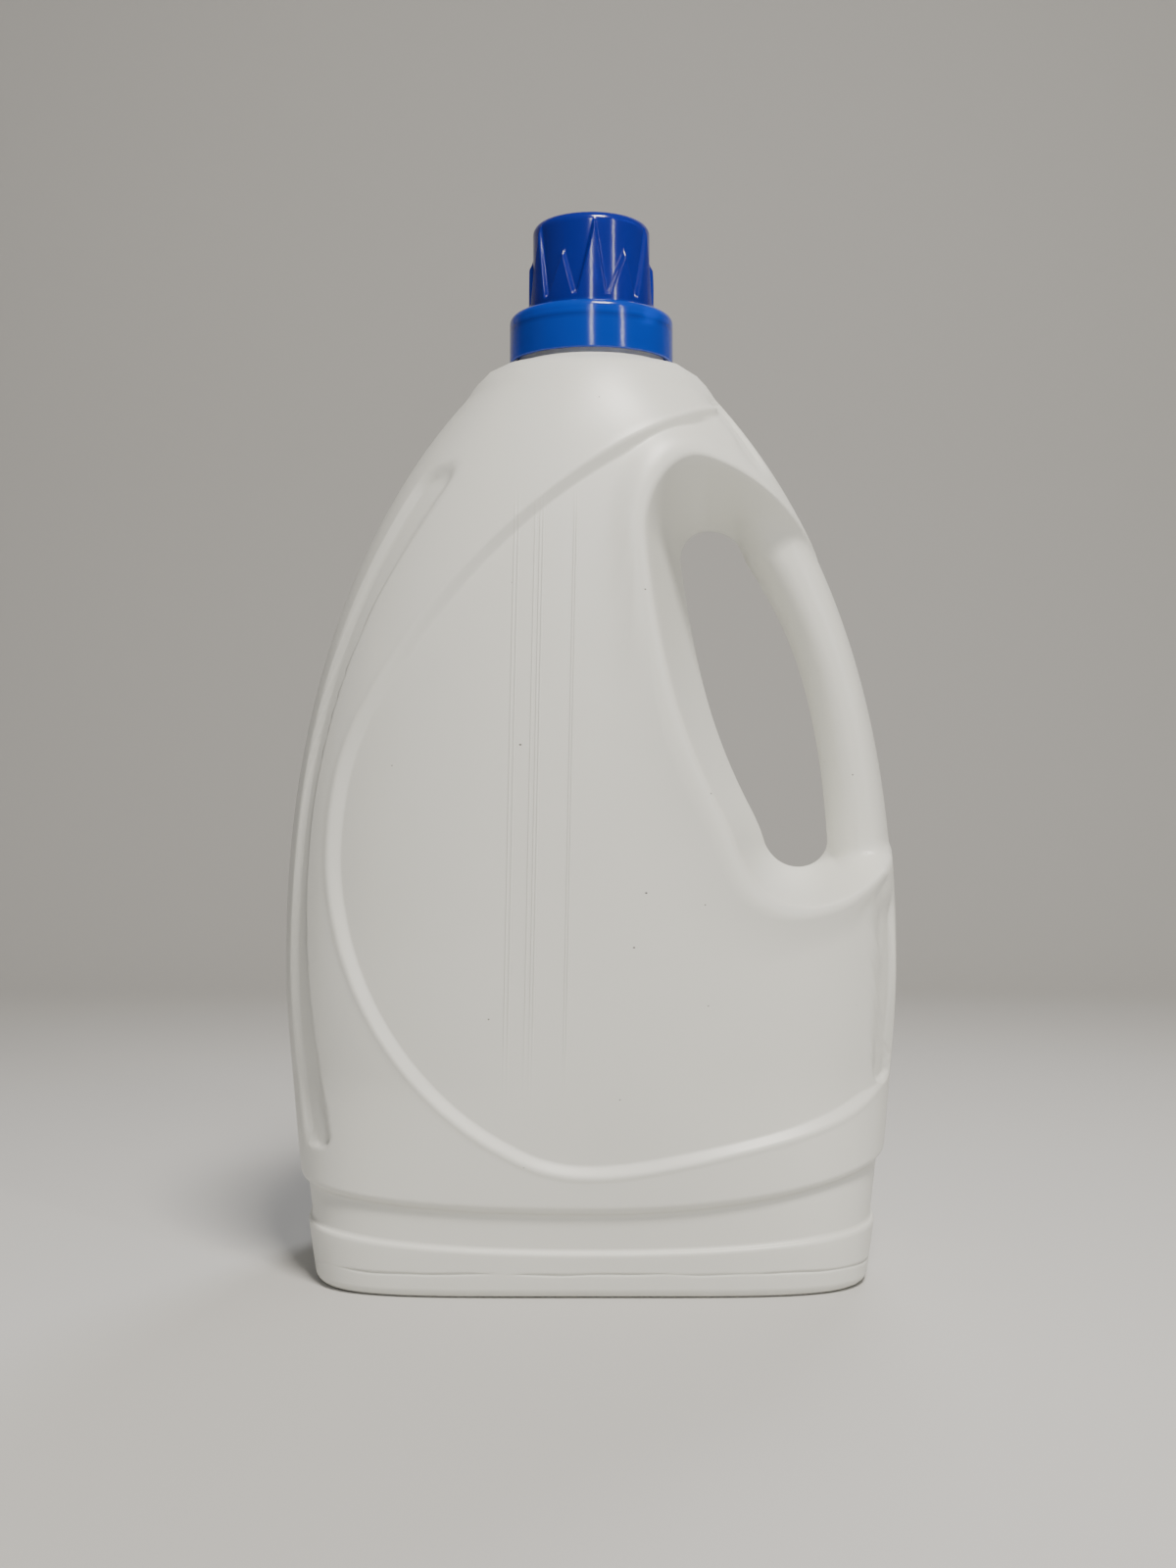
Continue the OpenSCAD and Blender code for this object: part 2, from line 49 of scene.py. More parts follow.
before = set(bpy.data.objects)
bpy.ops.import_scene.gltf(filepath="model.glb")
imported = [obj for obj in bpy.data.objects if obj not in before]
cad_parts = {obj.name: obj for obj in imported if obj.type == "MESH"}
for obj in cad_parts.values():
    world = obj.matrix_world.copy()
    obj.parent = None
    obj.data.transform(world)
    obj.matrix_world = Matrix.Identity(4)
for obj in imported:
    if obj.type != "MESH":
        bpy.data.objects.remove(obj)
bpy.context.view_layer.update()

MM = 0.001


def linear(code):
    """Linear colour of an sRGB hex code."""
    parts = [int(code[i : i + 2], 16) / 255 for i in (1, 3, 5)]
    return [c / 12.92 if c <= 0.04045 else ((c + 0.055) / 1.055) ** 2.4 for c in parts]


def length(name, size, description):
    """A length, given in millimetres, that a user may change."""
    return FloatProperty(
        name=name, description=description, default=size * MM, min=0, unit="LENGTH", precision=4
    )


def colour(name, code, description):
    """A colour that a user may change."""
    return FloatVectorProperty(
        name=name, description=description, default=linear(code), min=0, max=1, size=3, subtype="COLOR"
    )


class BottleSettings(PropertyGroup):
    body_w: length("Width", 185, "Width across the widest place, handle included")
    body_d: length("Depth", 104, "Depth from front face to back face")
    widest_z: length("Widest height", 90, "Height of the widest place")
    shoulder_z: length("Shoulder height", 271.2, "Height where the neck starts")
    base_taper: length("Base taper", 11, "How much narrower each side is at the base")
    wall: length("Wall", 1.5, "Thickness of the blown wall")
    neck_d: length("Neck diameter", 44, "Outer diameter of the neck without its thread")
    neck_h: length("Neck height", 13, "Height of the neck above the shoulder")
    hole_top_z: length("Hole top", 222, "Height of the top of the finger hole")
    hole_bottom_z: length("Hole bottom", 119, "Height of the bottom of the finger hole")
    finger_gap: length("Finger gap", 31, "Width of the finger hole at its middle")
    grip_w: length("Grip width", 17.2, "Width of the grip seen from the front")
    grip_t: length("Grip thickness", 28, "Thickness of the grip from front to back")
    panel_depth: length("Panel depth", 1.9, "Depth of the label panel below its frame")
    channel_depth: length("Channel depth", 1.8, "Depth of the channels beside the side spines")
    thread_pitch: length("Thread pitch", 4, "Rise of the neck's thread in one turn")
    shell: colour("Shell", "#e3e3dc", "Pigmented white of the blown bottle")
    fleck: colour("Flecks", "#4b4640", "Dark specks moulded into the shell")
    fleck_size: length("Fleck size", 0.4, "Largest radius of a fleck")
    fleck_density: FloatProperty(
        name="Fleck density", description="Flecks on a square metre", default=420, min=0
    )
    fleck_seed: IntProperty(name="Fleck seed", description="Seed of the flecks' places", default=7, min=0)


class CapSettings(PropertyGroup):
    skirt_d: length("Skirt diameter", 50, "Outer diameter of the screw skirt")
    cup_d: length("Cup diameter", 35.8, "Outer diameter of the dosing cup between its leaves")
    leaf_proud: length("Leaf relief", 1.35, "How far the leaves stand out of the cup")
    leaf_lean: length("Leaf lean", 1.2, "How far the leaves' points lean to one side")
    leaf_count: IntProperty(
        name="Leaves", description="Pointed leaves round the cup", default=12, min=4, max=24
    )
    thread_pitch: length("Thread pitch", 4, "Rise of the skirt's thread in one turn")
    tint: colour("Tint", "#1d2b98", "Blue tint of the clear cap")
    # Painted light: the skirt's brighter tint paints in the glow of the white neck shining through the
    # clear skirt
    painted_backlight_tint: colour("Lit tint", "#1a45c0", "Tint of the skirt, which the white neck lights from behind")


class SpoutSettings(PropertyGroup):
    tube_d: length("Tube diameter", 23, "Outer diameter of the pouring tube")
    wall: length("Wall", 1.2, "Thickness of the spout's walls")
    drain_w: length("Drain width", 5, "Width of the slot that drains the well")
    well_depth: length("Well depth", 11, "Depth of the drain well below the neck's rim")
    lip_low: length("Low lip", 8, "Height of the tube's low side above the neck's rim")
    lip_high: length("High lip", 22, "Height of the tube's pouring side above the neck's rim")
    natural: colour("Natural", "#e6ebe7", "Milky white of the unpigmented spout")


class StageSettings(PropertyGroup):
    distance: length("Camera distance", 555, "Distance from the camera to the parting plane")
    eye_z: length("Eye height", 144.4, "Height of the camera")
    eye_x: FloatProperty(
        name="Eye offset", description="Camera's place across the bottle", default=-1 * MM, unit="LENGTH"
    )
    lens: FloatProperty(
        name="Lens", description="Focal length on a 36 mm long side", default=41.5, unit="CAMERA"
    )
    paper: colour("Paper", "#c4c3c0", "Pale studio paper under and behind the bottle")


# Outline and shoulder of the blown skin
SIDE_POWER, SIDE_CLOSE = 2.2, 1.52
FRONT_POWER, FRONT_CLOSE = 4.2, 2
TAPER_POWER = 1.65
FRONT_TAPER = 0.25
BASE_SQUARE = 2.4
MIDDLE_SQUARE = 0.6
BOX_HEIGHT = 60 * MM
CROWN_FALL = 3 * MM
CROWN_SIDE = 1.5 * MM
CROWN_FRONT = 4.5 * MM
HIP = 1.4 * MM
HIP_REACH = 11 * MM
HIP_FADE = 5 * MM
HIP_TOP = 2 * MM
LEDGE_BELOW = 4.2 * MM
LEDGE_RISE = 0.35 * MM
LEDGE_STEP = 0.9 * MM
LEDGE_FADE = 2 * MM

# Neck, and the small round on every moulded edge
NECK_LAND = 2.5 * MM
NECK_WALL = 1.5 * MM
NECK_FOOT = 1.5 * MM
NECK_ROUND = 1 * MM
LAND_ROUND = 0.7 * MM
LAND_RISE = 0.25 * MM
BORE_FLARE = 0.3 * MM
EDGE_R = 0.4 * MM

# Finger hole, grip and pocket
HOLE_ROUND_TOP = 10 * MM
HOLE_ROUND_BOTTOM = 8 * MM
HOLE_LEAN = 0.15
HOLE_MIDDLE_RISE = 4 * MM
FINGER_GAP_TOP = 20.5 * MM
FINGER_GAP_BOTTOM = 18 * MM
GRIP_W_TOP = 21.5 * MM
GRIP_W_BOTTOM = 18.4 * MM
GRIP_SQUARE = 2.2
END_BLEND = 10 * MM
EDGE_ROUND = 6 * MM
SOFT_RIM = 24
SOFT_FLOOR = 4
DRAFT_SIDE = math.radians(14.5)
DRAFT_BOTTOM = math.radians(14)
DRAFT_TOP = math.radians(27)

# Label panel, with the fine lip along its frame
PANEL_BULGE = 21.5 * MM
PANEL_DROP = 26 * MM
PANEL_LIFT = 36 * MM
PANEL_REACH = 3.5 * MM
PANEL_SHIFT = 20 * MM
PANEL_FOOT = 7.4 * MM
PANEL_SLANT = 0.21
PANEL_STEP = 2.8 * MM
PANEL_EASE = 0.4 * MM
PANEL_ROUND = 9 * MM
PANEL_MARGIN = 14 * MM
POCKET_MARGIN = 0.2
POCKET_FADE = 0.7
LIP_PLACE = 0.7 * MM
LIP_RISE = 0.16 * MM
LIP_REACH = 1.7 * MM

# Channels, in shares of the bottle's half width; the left one's change towards its top and bottom
LEFT_PLACE = (0.93, 0.15, 0.035)
LEFT_HALF = (0.022, 0.055, 0.02)
LOW_PLACE, LOW_HALF = 0.95, 0.028
HIGH_PLACE, HIGH_HALF = 0.92, 0.04
HIGH_PART = 0.7
GROOVE_EDGE = 1.12
GROOVE_STEEP = 4
CHANNEL_ABOVE_HOLE = 9 * MM
CHANNEL_ABOVE_BELT = 18 * MM
CHANNEL_ABOVE_WIDEST = 25 * MM
CHANNEL_END_TOP = 5 * MM
CHANNEL_END = 3 * MM
LOW_ABOVE = 17 * MM
LOW_BELOW_HOLE = 5 * MM
LOW_FADE = 10 * MM
HIGH_TOP = 32 * MM
HIGH_BOTTOM = 22 * MM
HIGH_END = 6 * MM

# Foot, belt and base; the curves are shares of a height and a width, the seam's heights millimetres
FOOT_Z = 13 * MM
BELT_Z = 25 * MM
FOOT_INSET = 0.6 * MM
BELT_INSET = 2.4 * MM
FOOT_RISE = 4.6 * MM
BELT_RISE_LEFT = 4.6 * MM
BELT_RISE_RIGHT = 11.6 * MM
FOOT_ROUND_H = 1.4 * MM
FOOT_ROUND_W = 1.2 * MM
FOOT_HOLLOW_H = 1.1 * MM
FOOT_SIDE_END = 2.3 * MM
BELT_LOW = 1.2 * MM
BELT_ROUND = 2.6 * MM
BELT_FRONT = 0.75
FAN_Z = BELT_Z + 3.9 * MM
HEEL_R = 3 * MM
RING_W = 9 * MM
HOLLOW_R = 13 * MM
HOLLOW_CURVE = (
    (1, 1), (0.97, 0.78), (0.85, 0.55), (0.55, 0.36), (0.2, 0.2), (0.05, 0.1), (0, 0), (0, -0.3)
)
PUSH_UP = 4.5 * MM
PINCH_H = 0.7 * MM
PINCH_W = 0.035
PINCH_RUN = 20 * MM
SEAM_Z = 6.9 * MM
SEAM_DEPTH = 0.4 * MM
SEAM_CURVE = (
    (-1.1, 0), (-0.55, 0), (-0.35, 0.15), (-0.1, 0.8), (0.1, 1), (0.25, 0.6), (0.4, 0), (0.9, 0)
)
SEAM_END = 0.9 * MM
SEAM_REACH = 1.2 * MM
SEAM_WOBBLE = 0.16 * MM
WOBBLE_LONG, WOBBLE_SHORT = 7 * MM, 2.9 * MM
BREAK_LONG, BREAK_SHORT = 13 * MM, 5.3 * MM

# Least sizes: off the parting plane, as a divisor, between welded points, and the step of a slope
EDGE_CLEAR = 0.02 * MM
TINY = 1e-9
LEAST = 1e-5
WELD = 1e-7
TILT_STEP = 0.2 * MM

# A row of points round the base: height, rises of its left and right end, inset, share facing down
Row = namedtuple("Row", "z left right inset down")
FAN_ROW = Row(FAN_Z, BELT_RISE_LEFT, BELT_RISE_RIGHT, 0, 0)

# Knots of the fan of spokes: lower tip, lower right corner, both ends of the grip, both sides of
# the neck, the far lower corner and the lower tip again, with their way round the finger hole
AT_CORNER, AT_LOW, AT_HIGH, AT_NECK, PAST_NECK, AT_FAR, SPOKES = 10, 18, 28, 34, 50, 68, 88
KNOTS = [0, AT_CORNER, AT_LOW, AT_HIGH, AT_NECK, PAST_NECK, AT_FAR, SPOKES]
WAYS = [0, 0.25, 1, 2, 2.9, 4, 4.75, 6]
TURNS = np.radians([-90, -68, -10, 15, 85, 150, 208, 270])
SPOKE_BEND = 0.45
LAST_RIM = 0.7
LEAST_STEP = 0.02
LAST_PANEL = (0.95, 0.8, 0.8, 0.95)
PAST_HOLE = 5 * MM
HALVINGS = 22
DENSITY = 4
OUTER_RINGS = (15, 12, 12, 40)
INNER_RINGS = (6, 4, 2, 8)

# Dosing cap
CUP_H = 28 * MM
CAP_WALL = 1.6 * MM
CAP_STEPS = 576
LEAF_ROWS = 58
RIM_DROP = 7 * MM
RIM_R = 0.3 * MM
SKIRT_WALL = 1.5 * MM
SKIRT_ROUND = 2.5 * MM
CUP_FOOT = 0.8 * MM
CUP_ROUND = 3 * MM
TOP_FLAT = 7 * MM
CUP_INNER_R = 2.2 * MM
NOTCH_RISE = 3.3 * MM
TALL_DROP = 3.2 * MM
SHORT_DROP = 12 * MM
LEAF_GAP = 0.45 * MM
LEAF_EDGE = 1.05 * MM
LEAF_SLOPE = 0.93
LEAF_BOW = 0.2
LEAF_THIN = 0.2
LEAF_PAST = 1.3

# Pour spout
SPOUT_STEPS = 160
FLANGE_T = 1.2 * MM
FLANGE_LEDGE = 1.25 * MM
TUBE_LAP = 0.2 * MM
TUBE_FOOT = 0.15 * MM

# Stage: ends and bend of the paper, in metres, and the camera's sensor in millimetres
PAPER_FRONT, PAPER_BEND, PAPER_TOP = -1.6, 0.7, 2.2
PAPER_R = 0.5
PAPER_HALF = 2.4
SENSOR = 36
AIM = Vector((0, 0, 0.15))


def ramp(t):
    """Smooth rise from 0 to 1."""
    s = np.clip(t, 0, 1)
    return s * s * (3 - 2 * s)


def flank(t):
    """Straight rise from 0 to 1, a little eased at both ends."""
    return 0.75 * np.clip(t, 0, 1) + 0.25 * ramp(t)


def groove(u):
    """Share of a channel's depth at a distance from its middle, in half widths."""
    return flank(GROOVE_STEEP * (GROOVE_EDGE - u))


def spread(t):
    """Even steps gathered at both ends."""
    return (1 - np.cos(np.pi * t)) / 2


def soft_min(a, b, p):
    a, b = np.maximum(a, TINY), np.maximum(b, TINY)
    return (a**-p + b**-p) ** (-1 / p)


def soft_max(a, b, p):
    return (np.maximum(a, 0) ** p + np.maximum(b, 0) ** p) ** (1 / p)


def round_min(a, b, size):
    return np.minimum(a, b) - np.maximum(0, size - np.abs(a - b)) ** 2 / size / 4


class BlownForm:
    """The blown skin as a half depth over the front view, with its relief."""

    def __init__(self, s):
        self.s = s
        self.half_w = s.body_w / 2
        self.half_d = s.body_d / 2
        self.neck_r = s.neck_d / 2
        self.land_r = self.neck_r + NECK_LAND
        rise = s.shoulder_z - s.widest_z
        crown_r = self.land_r + CROWN_FALL
        self.side_rise = rise / (1 - (crown_r / self.half_w) ** SIDE_CLOSE) ** (1 / SIDE_POWER)
        self.front_rise = rise / (1 - (crown_r / self.half_d) ** FRONT_CLOSE) ** (1 / FRONT_POWER)
        self.upper_z = s.hole_top_z - HOLE_ROUND_TOP
        self.lower_z = s.hole_bottom_z + HOLE_ROUND_BOTTOM
        self.middle_z = (self.upper_z + self.lower_z) / 2 + HOLE_MIDDLE_RISE

    def curve(self, z, rise, power, close):
        t = np.maximum(z - self.s.widest_z, 0) / rise
        return np.maximum(0, 1 - t**power) ** (1 / close)

    def taper(self, z):
        t = np.maximum(self.s.widest_z - z, 0) / self.s.widest_z
        return self.s.base_taper * t**TAPER_POWER

    def crown(self, z, height):
        return CROWN_FALL * ramp(1 - (self.s.shoulder_z - z) / height)

    def side(self, z):
        below = self.s.shoulder_z - z
        hip = HIP * ramp((HIP_REACH - below) / HIP_FADE) * ramp(below / HIP_TOP)
        curve = self.curve(z, self.side_rise, SIDE_POWER, SIDE_CLOSE)
        return self.half_w * curve - self.taper(z) + hip - self.crown(z, CROWN_SIDE)

    def front(self, z):
        curve = self.curve(z, self.front_rise, FRONT_POWER, FRONT_CLOSE)
        return self.half_d * curve - FRONT_TAPER * self.taper(z) - self.crown(z, CROWN_FRONT)

    def square_power(self, z):
        round_off = MIDDLE_SQUARE * (1 - np.clip(z / self.s.shoulder_z, 0, 1) ** 3)
        return 2 + round_off + BASE_SQUARE * np.clip(1 - z / BOX_HEIGHT, 0, None) ** 1.5

    # The finger hole: two edges that follow the outline, closed by a round at each end
    def straight(self, z):
        t = (z - self.lower_z) / END_BLEND
        soft = np.where(t < -1, 0, np.where(t > 1, t, (t + 1) ** 2 / 4))
        return np.minimum(self.upper_z, self.lower_z + END_BLEND * soft)

    def bow(self, z, mid, top, bottom):
        up = (z - self.middle_z) / (self.upper_z - self.middle_z)
        down = (self.middle_z - z) / (self.middle_z - self.lower_z)
        return np.where(z > self.middle_z, mid + (top - mid) * up**2, mid + (bottom - mid) * down**2)

    def grip_width(self, z):
        return self.bow(self.straight(z), self.s.grip_w, GRIP_W_TOP, GRIP_W_BOTTOM)

    def hole_half(self, z):
        return self.bow(self.straight(z), self.s.finger_gap, FINGER_GAP_TOP, FINGER_GAP_BOTTOM) / 2

    def hole_centre(self, z):
        lean = HOLE_LEAN * np.maximum(0, z - self.upper_z)
        return self.side(self.straight(z)) - self.grip_width(z) - self.hole_half(z) - lean

    def hole_end(self, z):
        over = np.maximum(z - self.upper_z, 0) / HOLE_ROUND_TOP
        return over + np.maximum(self.lower_z - z, 0) / HOLE_ROUND_BOTTOM

    # The pocket round the hole and the grip beside it
    def pocket_wall(self, x, z, off):
        half = self.hole_half(z)
        a = (x - self.hole_centre(z)) / half
        b = self.hole_end(z)
        r = np.maximum(LEAST, np.hypot(a, b))
        out = np.maximum(0, (r - 1) * half - off)
        left = np.maximum(0, -a) / r / math.tan(DRAFT_SIDE)
        up = b / r / np.where(z > self.upper_z, math.tan(DRAFT_TOP), math.tan(DRAFT_BOTTOM))
        share = np.hypot(np.maximum(0, -a), b) / r
        return np.sqrt((np.hypot(left, up) * out) ** 2 + 2 * EDGE_ROUND * share * out)

    def grip(self, x, z, off):
        inner = self.side(z) - self.grip_width(z) + off
        outer = self.side(z) - off
        u = np.abs((2 * x - inner - outer) / (outer - inner))
        crest = self.s.grip_t / 2 - off
        return crest * np.clip(1 - u**GRIP_SQUARE, 0, None) ** (1 / GRIP_SQUARE)

    def pocket(self, x, z, off):
        return soft_max(self.grip(x, z, off), self.pocket_wall(x, z, off), SOFT_FLOOR)

    def oval(self, x, z, inset):
        n = self.square_power(z)
        u = np.minimum(1, np.abs(x) / np.maximum(TINY, self.side(z) - inset))
        return (self.front(z) - inset) * (1 - u**n) ** (1 / n)

    def depth(self, x, z, inset, off):
        return soft_min(self.oval(x, z, inset + off), self.pocket(x, z, off), SOFT_RIM)

    # Relief: the label panel and the channels beside the spines
    def inside_panel(self, x, z):
        across, up = x - self.half_w - PANEL_BULGE, z - self.s.widest_z + PANEL_DROP
        above = self.s.body_w + PANEL_BULGE - np.hypot(across, up)
        side_z = self.s.widest_z + PANEL_LIFT
        below = self.half_w + PANEL_REACH - np.hypot(x - PANEL_SHIFT, np.minimum(z, side_z) - side_z)
        foot = z - BELT_Z - PANEL_FOOT - PANEL_SLANT * x
        return round_min(above, round_min(below, foot, PANEL_ROUND), PANEL_ROUND)

    def panel(self, x, z):
        """Height of the label panel's floor, its step and the fine lip along the frame."""
        ratio = self.pocket(x, z, 0) / np.maximum(LEAST, self.oval(x, z, 0))
        at_side = ramp((self.side(z) - np.abs(x)) / PANEL_MARGIN)
        room = np.minimum(at_side, ramp((ratio - 1 - POCKET_MARGIN) / POCKET_FADE))
        inside = self.inside_panel(x, z)
        lip = LIP_RISE * np.exp(-(((inside + LIP_PLACE) / LIP_PLACE) ** 2)) * room
        return lip - self.s.panel_depth * np.minimum(flank(inside / PANEL_STEP), room)

    def channels(self, x, z):
        """Share of the depth of the channels, whose ends are round."""
        top, bottom = self.s.hole_top_z + CHANNEL_ABOVE_HOLE, BELT_Z + CHANNEL_ABOVE_BELT
        mid = self.s.widest_z + CHANNEL_ABOVE_WIDEST
        up = np.maximum(0, (z - mid) / (top - mid)) ** 3
        down = np.maximum(0, (mid - z) / (mid - bottom))
        share = x / np.maximum(self.side(z), TINY)
        place = LEFT_PLACE[0] - LEFT_PLACE[1] * up - LEFT_PLACE[2] * down**2
        half = LEFT_HALF[0] + LEFT_HALF[1] * up + LEFT_HALF[2] * down
        past = np.maximum(0, z - top) / CHANNEL_END_TOP + np.maximum(0, bottom - z) / CHANNEL_END
        left = np.hypot((-share - place) / half, past)
        under = np.maximum(0, bottom + LOW_ABOVE - z)
        low = np.hypot((share - LOW_PLACE) / LOW_HALF, under / CHANNEL_END)
        fade = ramp((self.s.hole_bottom_z - LOW_BELOW_HOLE - z) / LOW_FADE)
        over = np.maximum(0, z - self.s.hole_top_z - HIGH_TOP)
        under = np.maximum(0, self.s.hole_top_z + HIGH_BOTTOM - z)
        high = np.hypot((share - HIGH_PLACE) / HIGH_HALF, (over + under) / HIGH_END)
        right = np.maximum(groove(low) * fade, HIGH_PART * groove(high))
        return np.where(x < 0, groove(left), right)

    def shoulder_ledge(self, x, z):
        """Share of the height of the fine ledge round the shoulder, below the neck's land."""
        below = self.s.shoulder_z - z
        step = flank((LEDGE_BELOW - below) / LEDGE_STEP) * ramp(below / LEDGE_FADE)
        return step * ramp(2 - np.abs(x) / self.land_r)

    def relief(self, x, z):
        ledge = LEDGE_RISE * self.shoulder_ledge(x, z)
        return ledge + self.panel(x, z) - self.s.channel_depth * self.channels(x, z)

    def points(self, x, z, inset, off, down, flat):
        """Points of the front half; flat ones lie on the parting plane."""
        d = self.depth(x, z, inset, off)
        t = TILT_STEP
        slope_x = (self.depth(x + t, z, inset, off) - self.depth(x - t, z, inset, off)) / 2 / t
        slope_z = (self.depth(x, z + t, inset, off) - self.depth(x, z - t, inset, off)) / 2 / t
        out = self.relief(x, z) / np.sqrt(slope_x**2 + 1 + slope_z**2)
        out = np.where(flat | (down > 0), 0, out)
        y = np.where(flat, 0, np.minimum(-EDGE_CLEAR, np.minimum(-d / 2, -d - out)))
        return np.stack([x - slope_x * out, y, z - slope_z * out], axis=-1)

    # Rows of the base, from its middle up to the belt
    def end_place(self, row, off, way):
        height = row.z + off * row.down + np.where(way < 0, row.left, row.right)
        return way * (self.side(height) - row.inset - off)

    def row_height(self, row, x, off):
        way = np.where(x < 0, -1, 1)
        u = x / self.end_place(row, off, way)
        return row.z + off * row.down + np.minimum(1, u * u) * np.where(way < 0, row.left, row.right)

    def rows(self):
        ring = FOOT_INSET + HEEL_R + RING_W
        rows = [Row(PUSH_UP * h, 0, 0, ring + HOLLOW_R * r, 1) for h, r in HOLLOW_CURVE]
        for a in np.linspace(0, np.pi / 2, 15):
            inset = FOOT_INSET + HEEL_R * (1 - np.sin(a))
            rows.append(Row(HEEL_R * (1 - np.cos(a)), 0, 0, inset, float(np.cos(a) > 0.01)))
        for rise, depth in SEAM_CURVE:
            rows.append(Row(SEAM_Z + rise * MM, 0, 0, FOOT_INSET + SEAM_DEPTH * depth, 0))
        for t in (0.35, 0.7):
            z = SEAM_Z + SEAM_END + (FOOT_Z - FOOT_SIDE_END - SEAM_Z) * t
            rows.append(Row(z, FOOT_RISE * t, FOOT_RISE * t, FOOT_INSET, 0))
        for a in np.linspace(0, np.pi / 2, 7):
            z = FOOT_Z - FOOT_ROUND_H + FOOT_ROUND_H * np.sin(a)
            rows.append(Row(z, FOOT_RISE, FOOT_RISE, FOOT_INSET + FOOT_ROUND_W * (1 - np.cos(a)), 0))
        rest = BELT_INSET - FOOT_INSET - FOOT_ROUND_W
        for t in (0.4, 0.75, 0.93, 1):
            inset = FOOT_INSET + FOOT_ROUND_W + rest * (1 - (1 - t) ** 2)
            rows.append(Row(FOOT_Z + FOOT_HOLLOW_H * t, FOOT_RISE, FOOT_RISE, inset, 0))
        low, high = FOOT_Z + FOOT_HOLLOW_H, BELT_Z - BELT_LOW
        for t in np.linspace(0.1, 1, 7):
            left = FOOT_RISE + (BELT_RISE_LEFT - FOOT_RISE) * t
            right = FOOT_RISE + (BELT_RISE_RIGHT - FOOT_RISE) * t
            rows.append(Row(low + (high - low) * t, left, right, BELT_INSET, 0))
        for a in np.linspace(0.08, 1, 11) * np.pi / 2:
            z = high + BELT_ROUND * (1 - np.cos(a))
            rows.append(FAN_ROW._replace(z=z, inset=BELT_INSET * (1 - np.sin(a))))
        for t in (0.2, 0.4, 0.6, 0.8, 1):
            rows.append(FAN_ROW._replace(z=high + BELT_ROUND + (FAN_Z - high - BELT_ROUND) * t))
        return rows

    def front_inset(self, row, place):
        """Inset of a row in the front face, where the seam is broken and the belt is less deep."""
        part = 1 if row.z < SEAM_Z - SEAM_REACH else BELT_FRONT
        if abs(row.z - SEAM_Z) < SEAM_REACH:
            broken = 0.8 + 0.9 * np.sin(place / BREAK_LONG + 0.5) * np.sin(place / BREAK_SHORT)
            part = np.clip(broken, 0, 1)
        return min(row.inset, FOOT_INSET) + max(0, row.inset - FOOT_INSET) * part

    # The fan of spokes from the finger hole to the outline
    def hole_point(self, t, off):
        span = self.upper_z - self.lower_z
        low_grow = 1 + off / self.hole_half(self.lower_z)
        high_grow = 1 + off / self.hole_half(self.upper_z)

        def turn(angle, z, size, grow):
            height = z + grow * size * np.sin(angle)
            across = grow * self.hole_half(height) * np.cos(angle)
            return np.stack([self.hole_centre(height) + across, height], -1)

        def edge(way, z):
            return np.stack([self.hole_centre(z) + way * (self.hole_half(z) + off), z], -1)

        quarter = np.pi / 2
        low_right = turn(3 * quarter + quarter * t, self.lower_z, HOLE_ROUND_BOTTOM, low_grow)
        right = edge(1, self.lower_z + span * (t - 1))
        top = turn(quarter * (t - 2), self.upper_z, HOLE_ROUND_TOP, high_grow)
        left = edge(-1, self.upper_z - span * (t - 4))
        low_left = turn(2 * quarter + quarter * (t - 5), self.lower_z, HOLE_ROUND_BOTTOM, low_grow)
        t = t[..., None]
        return np.select([t < 1, t < 2, t < 4, t < 5], [low_right, right, top, left], low_left)

    def outline_point(self, k, off):
        left = float(self.end_place(FAN_ROW, off, -1))
        right = float(self.end_place(FAN_ROW, off, 1))
        tip = right * float(self.hole_centre(self.s.hole_bottom_z) / self.side(self.s.hole_bottom_z))
        tip_x = tip + (right - tip) * np.sin(np.pi / 2 * np.clip(k / AT_CORNER, 0, 1))
        far_t = np.clip((k - AT_FAR) / (SPOKES - AT_FAR), 0, 1)
        belt_x = np.where(k <= AT_CORNER, tip_x, left + (tip - left) * (1 - np.cos(np.pi / 2 * far_t)))
        belt = np.stack([belt_x, self.row_height(FAN_ROW, belt_x, off)], -1)
        ends = [FAN_Z + BELT_RISE_RIGHT, self.lower_z - PAST_HOLE]
        ends += [self.upper_z + PAST_HOLE, self.s.shoulder_z]
        right_z = np.interp(k, [AT_CORNER, AT_LOW, AT_HIGH, AT_NECK], ends)
        handle = np.stack([self.side(right_z) - off, right_z], -1)
        angle = np.pi * (k - AT_NECK) / (PAST_NECK - AT_NECK)
        neck = np.stack([(self.land_r - off) * np.cos(angle), np.full_like(k, self.s.shoulder_z)], -1)
        t = np.clip((k - PAST_NECK) / (AT_FAR - PAST_NECK), 0, 1)
        drop = FAN_Z + BELT_RISE_LEFT - self.s.shoulder_z
        far_z = self.s.shoulder_z + drop * (t + 1 - np.cos(np.pi / 2 * t)) / 2
        far = np.stack([off - self.side(far_z), far_z], -1)
        k = k[:, None]
        on_belt = (k <= AT_CORNER) | (k >= AT_FAR)
        return np.where(on_belt, belt, np.where(k < AT_NECK, handle, np.where(k <= PAST_NECK, neck, far)))

    def fan(self, off, counts):
        """Points of the fan, spoke by spoke, with counts of rings between a spoke's marks."""
        k = np.arange(SPOKES * DENSITY) / DENSITY
        way = np.interp(k, KNOTS, WAYS)
        start, end = self.hole_point(way, off), self.outline_point(k, off)
        reach = np.linalg.norm(end - start, axis=1, keepdims=True)
        turn = np.interp(k, KNOTS, TURNS)
        bend = start + SPOKE_BEND * reach * np.stack([np.cos(turn), np.sin(turn)], -1)

        def along(s):
            s = s[..., None] if s.ndim == 2 else s[:, None, None]
            return (1 - s) ** 2 * start[:, None] + 2 * s * (1 - s) * bend[:, None] + s * s * end[:, None]

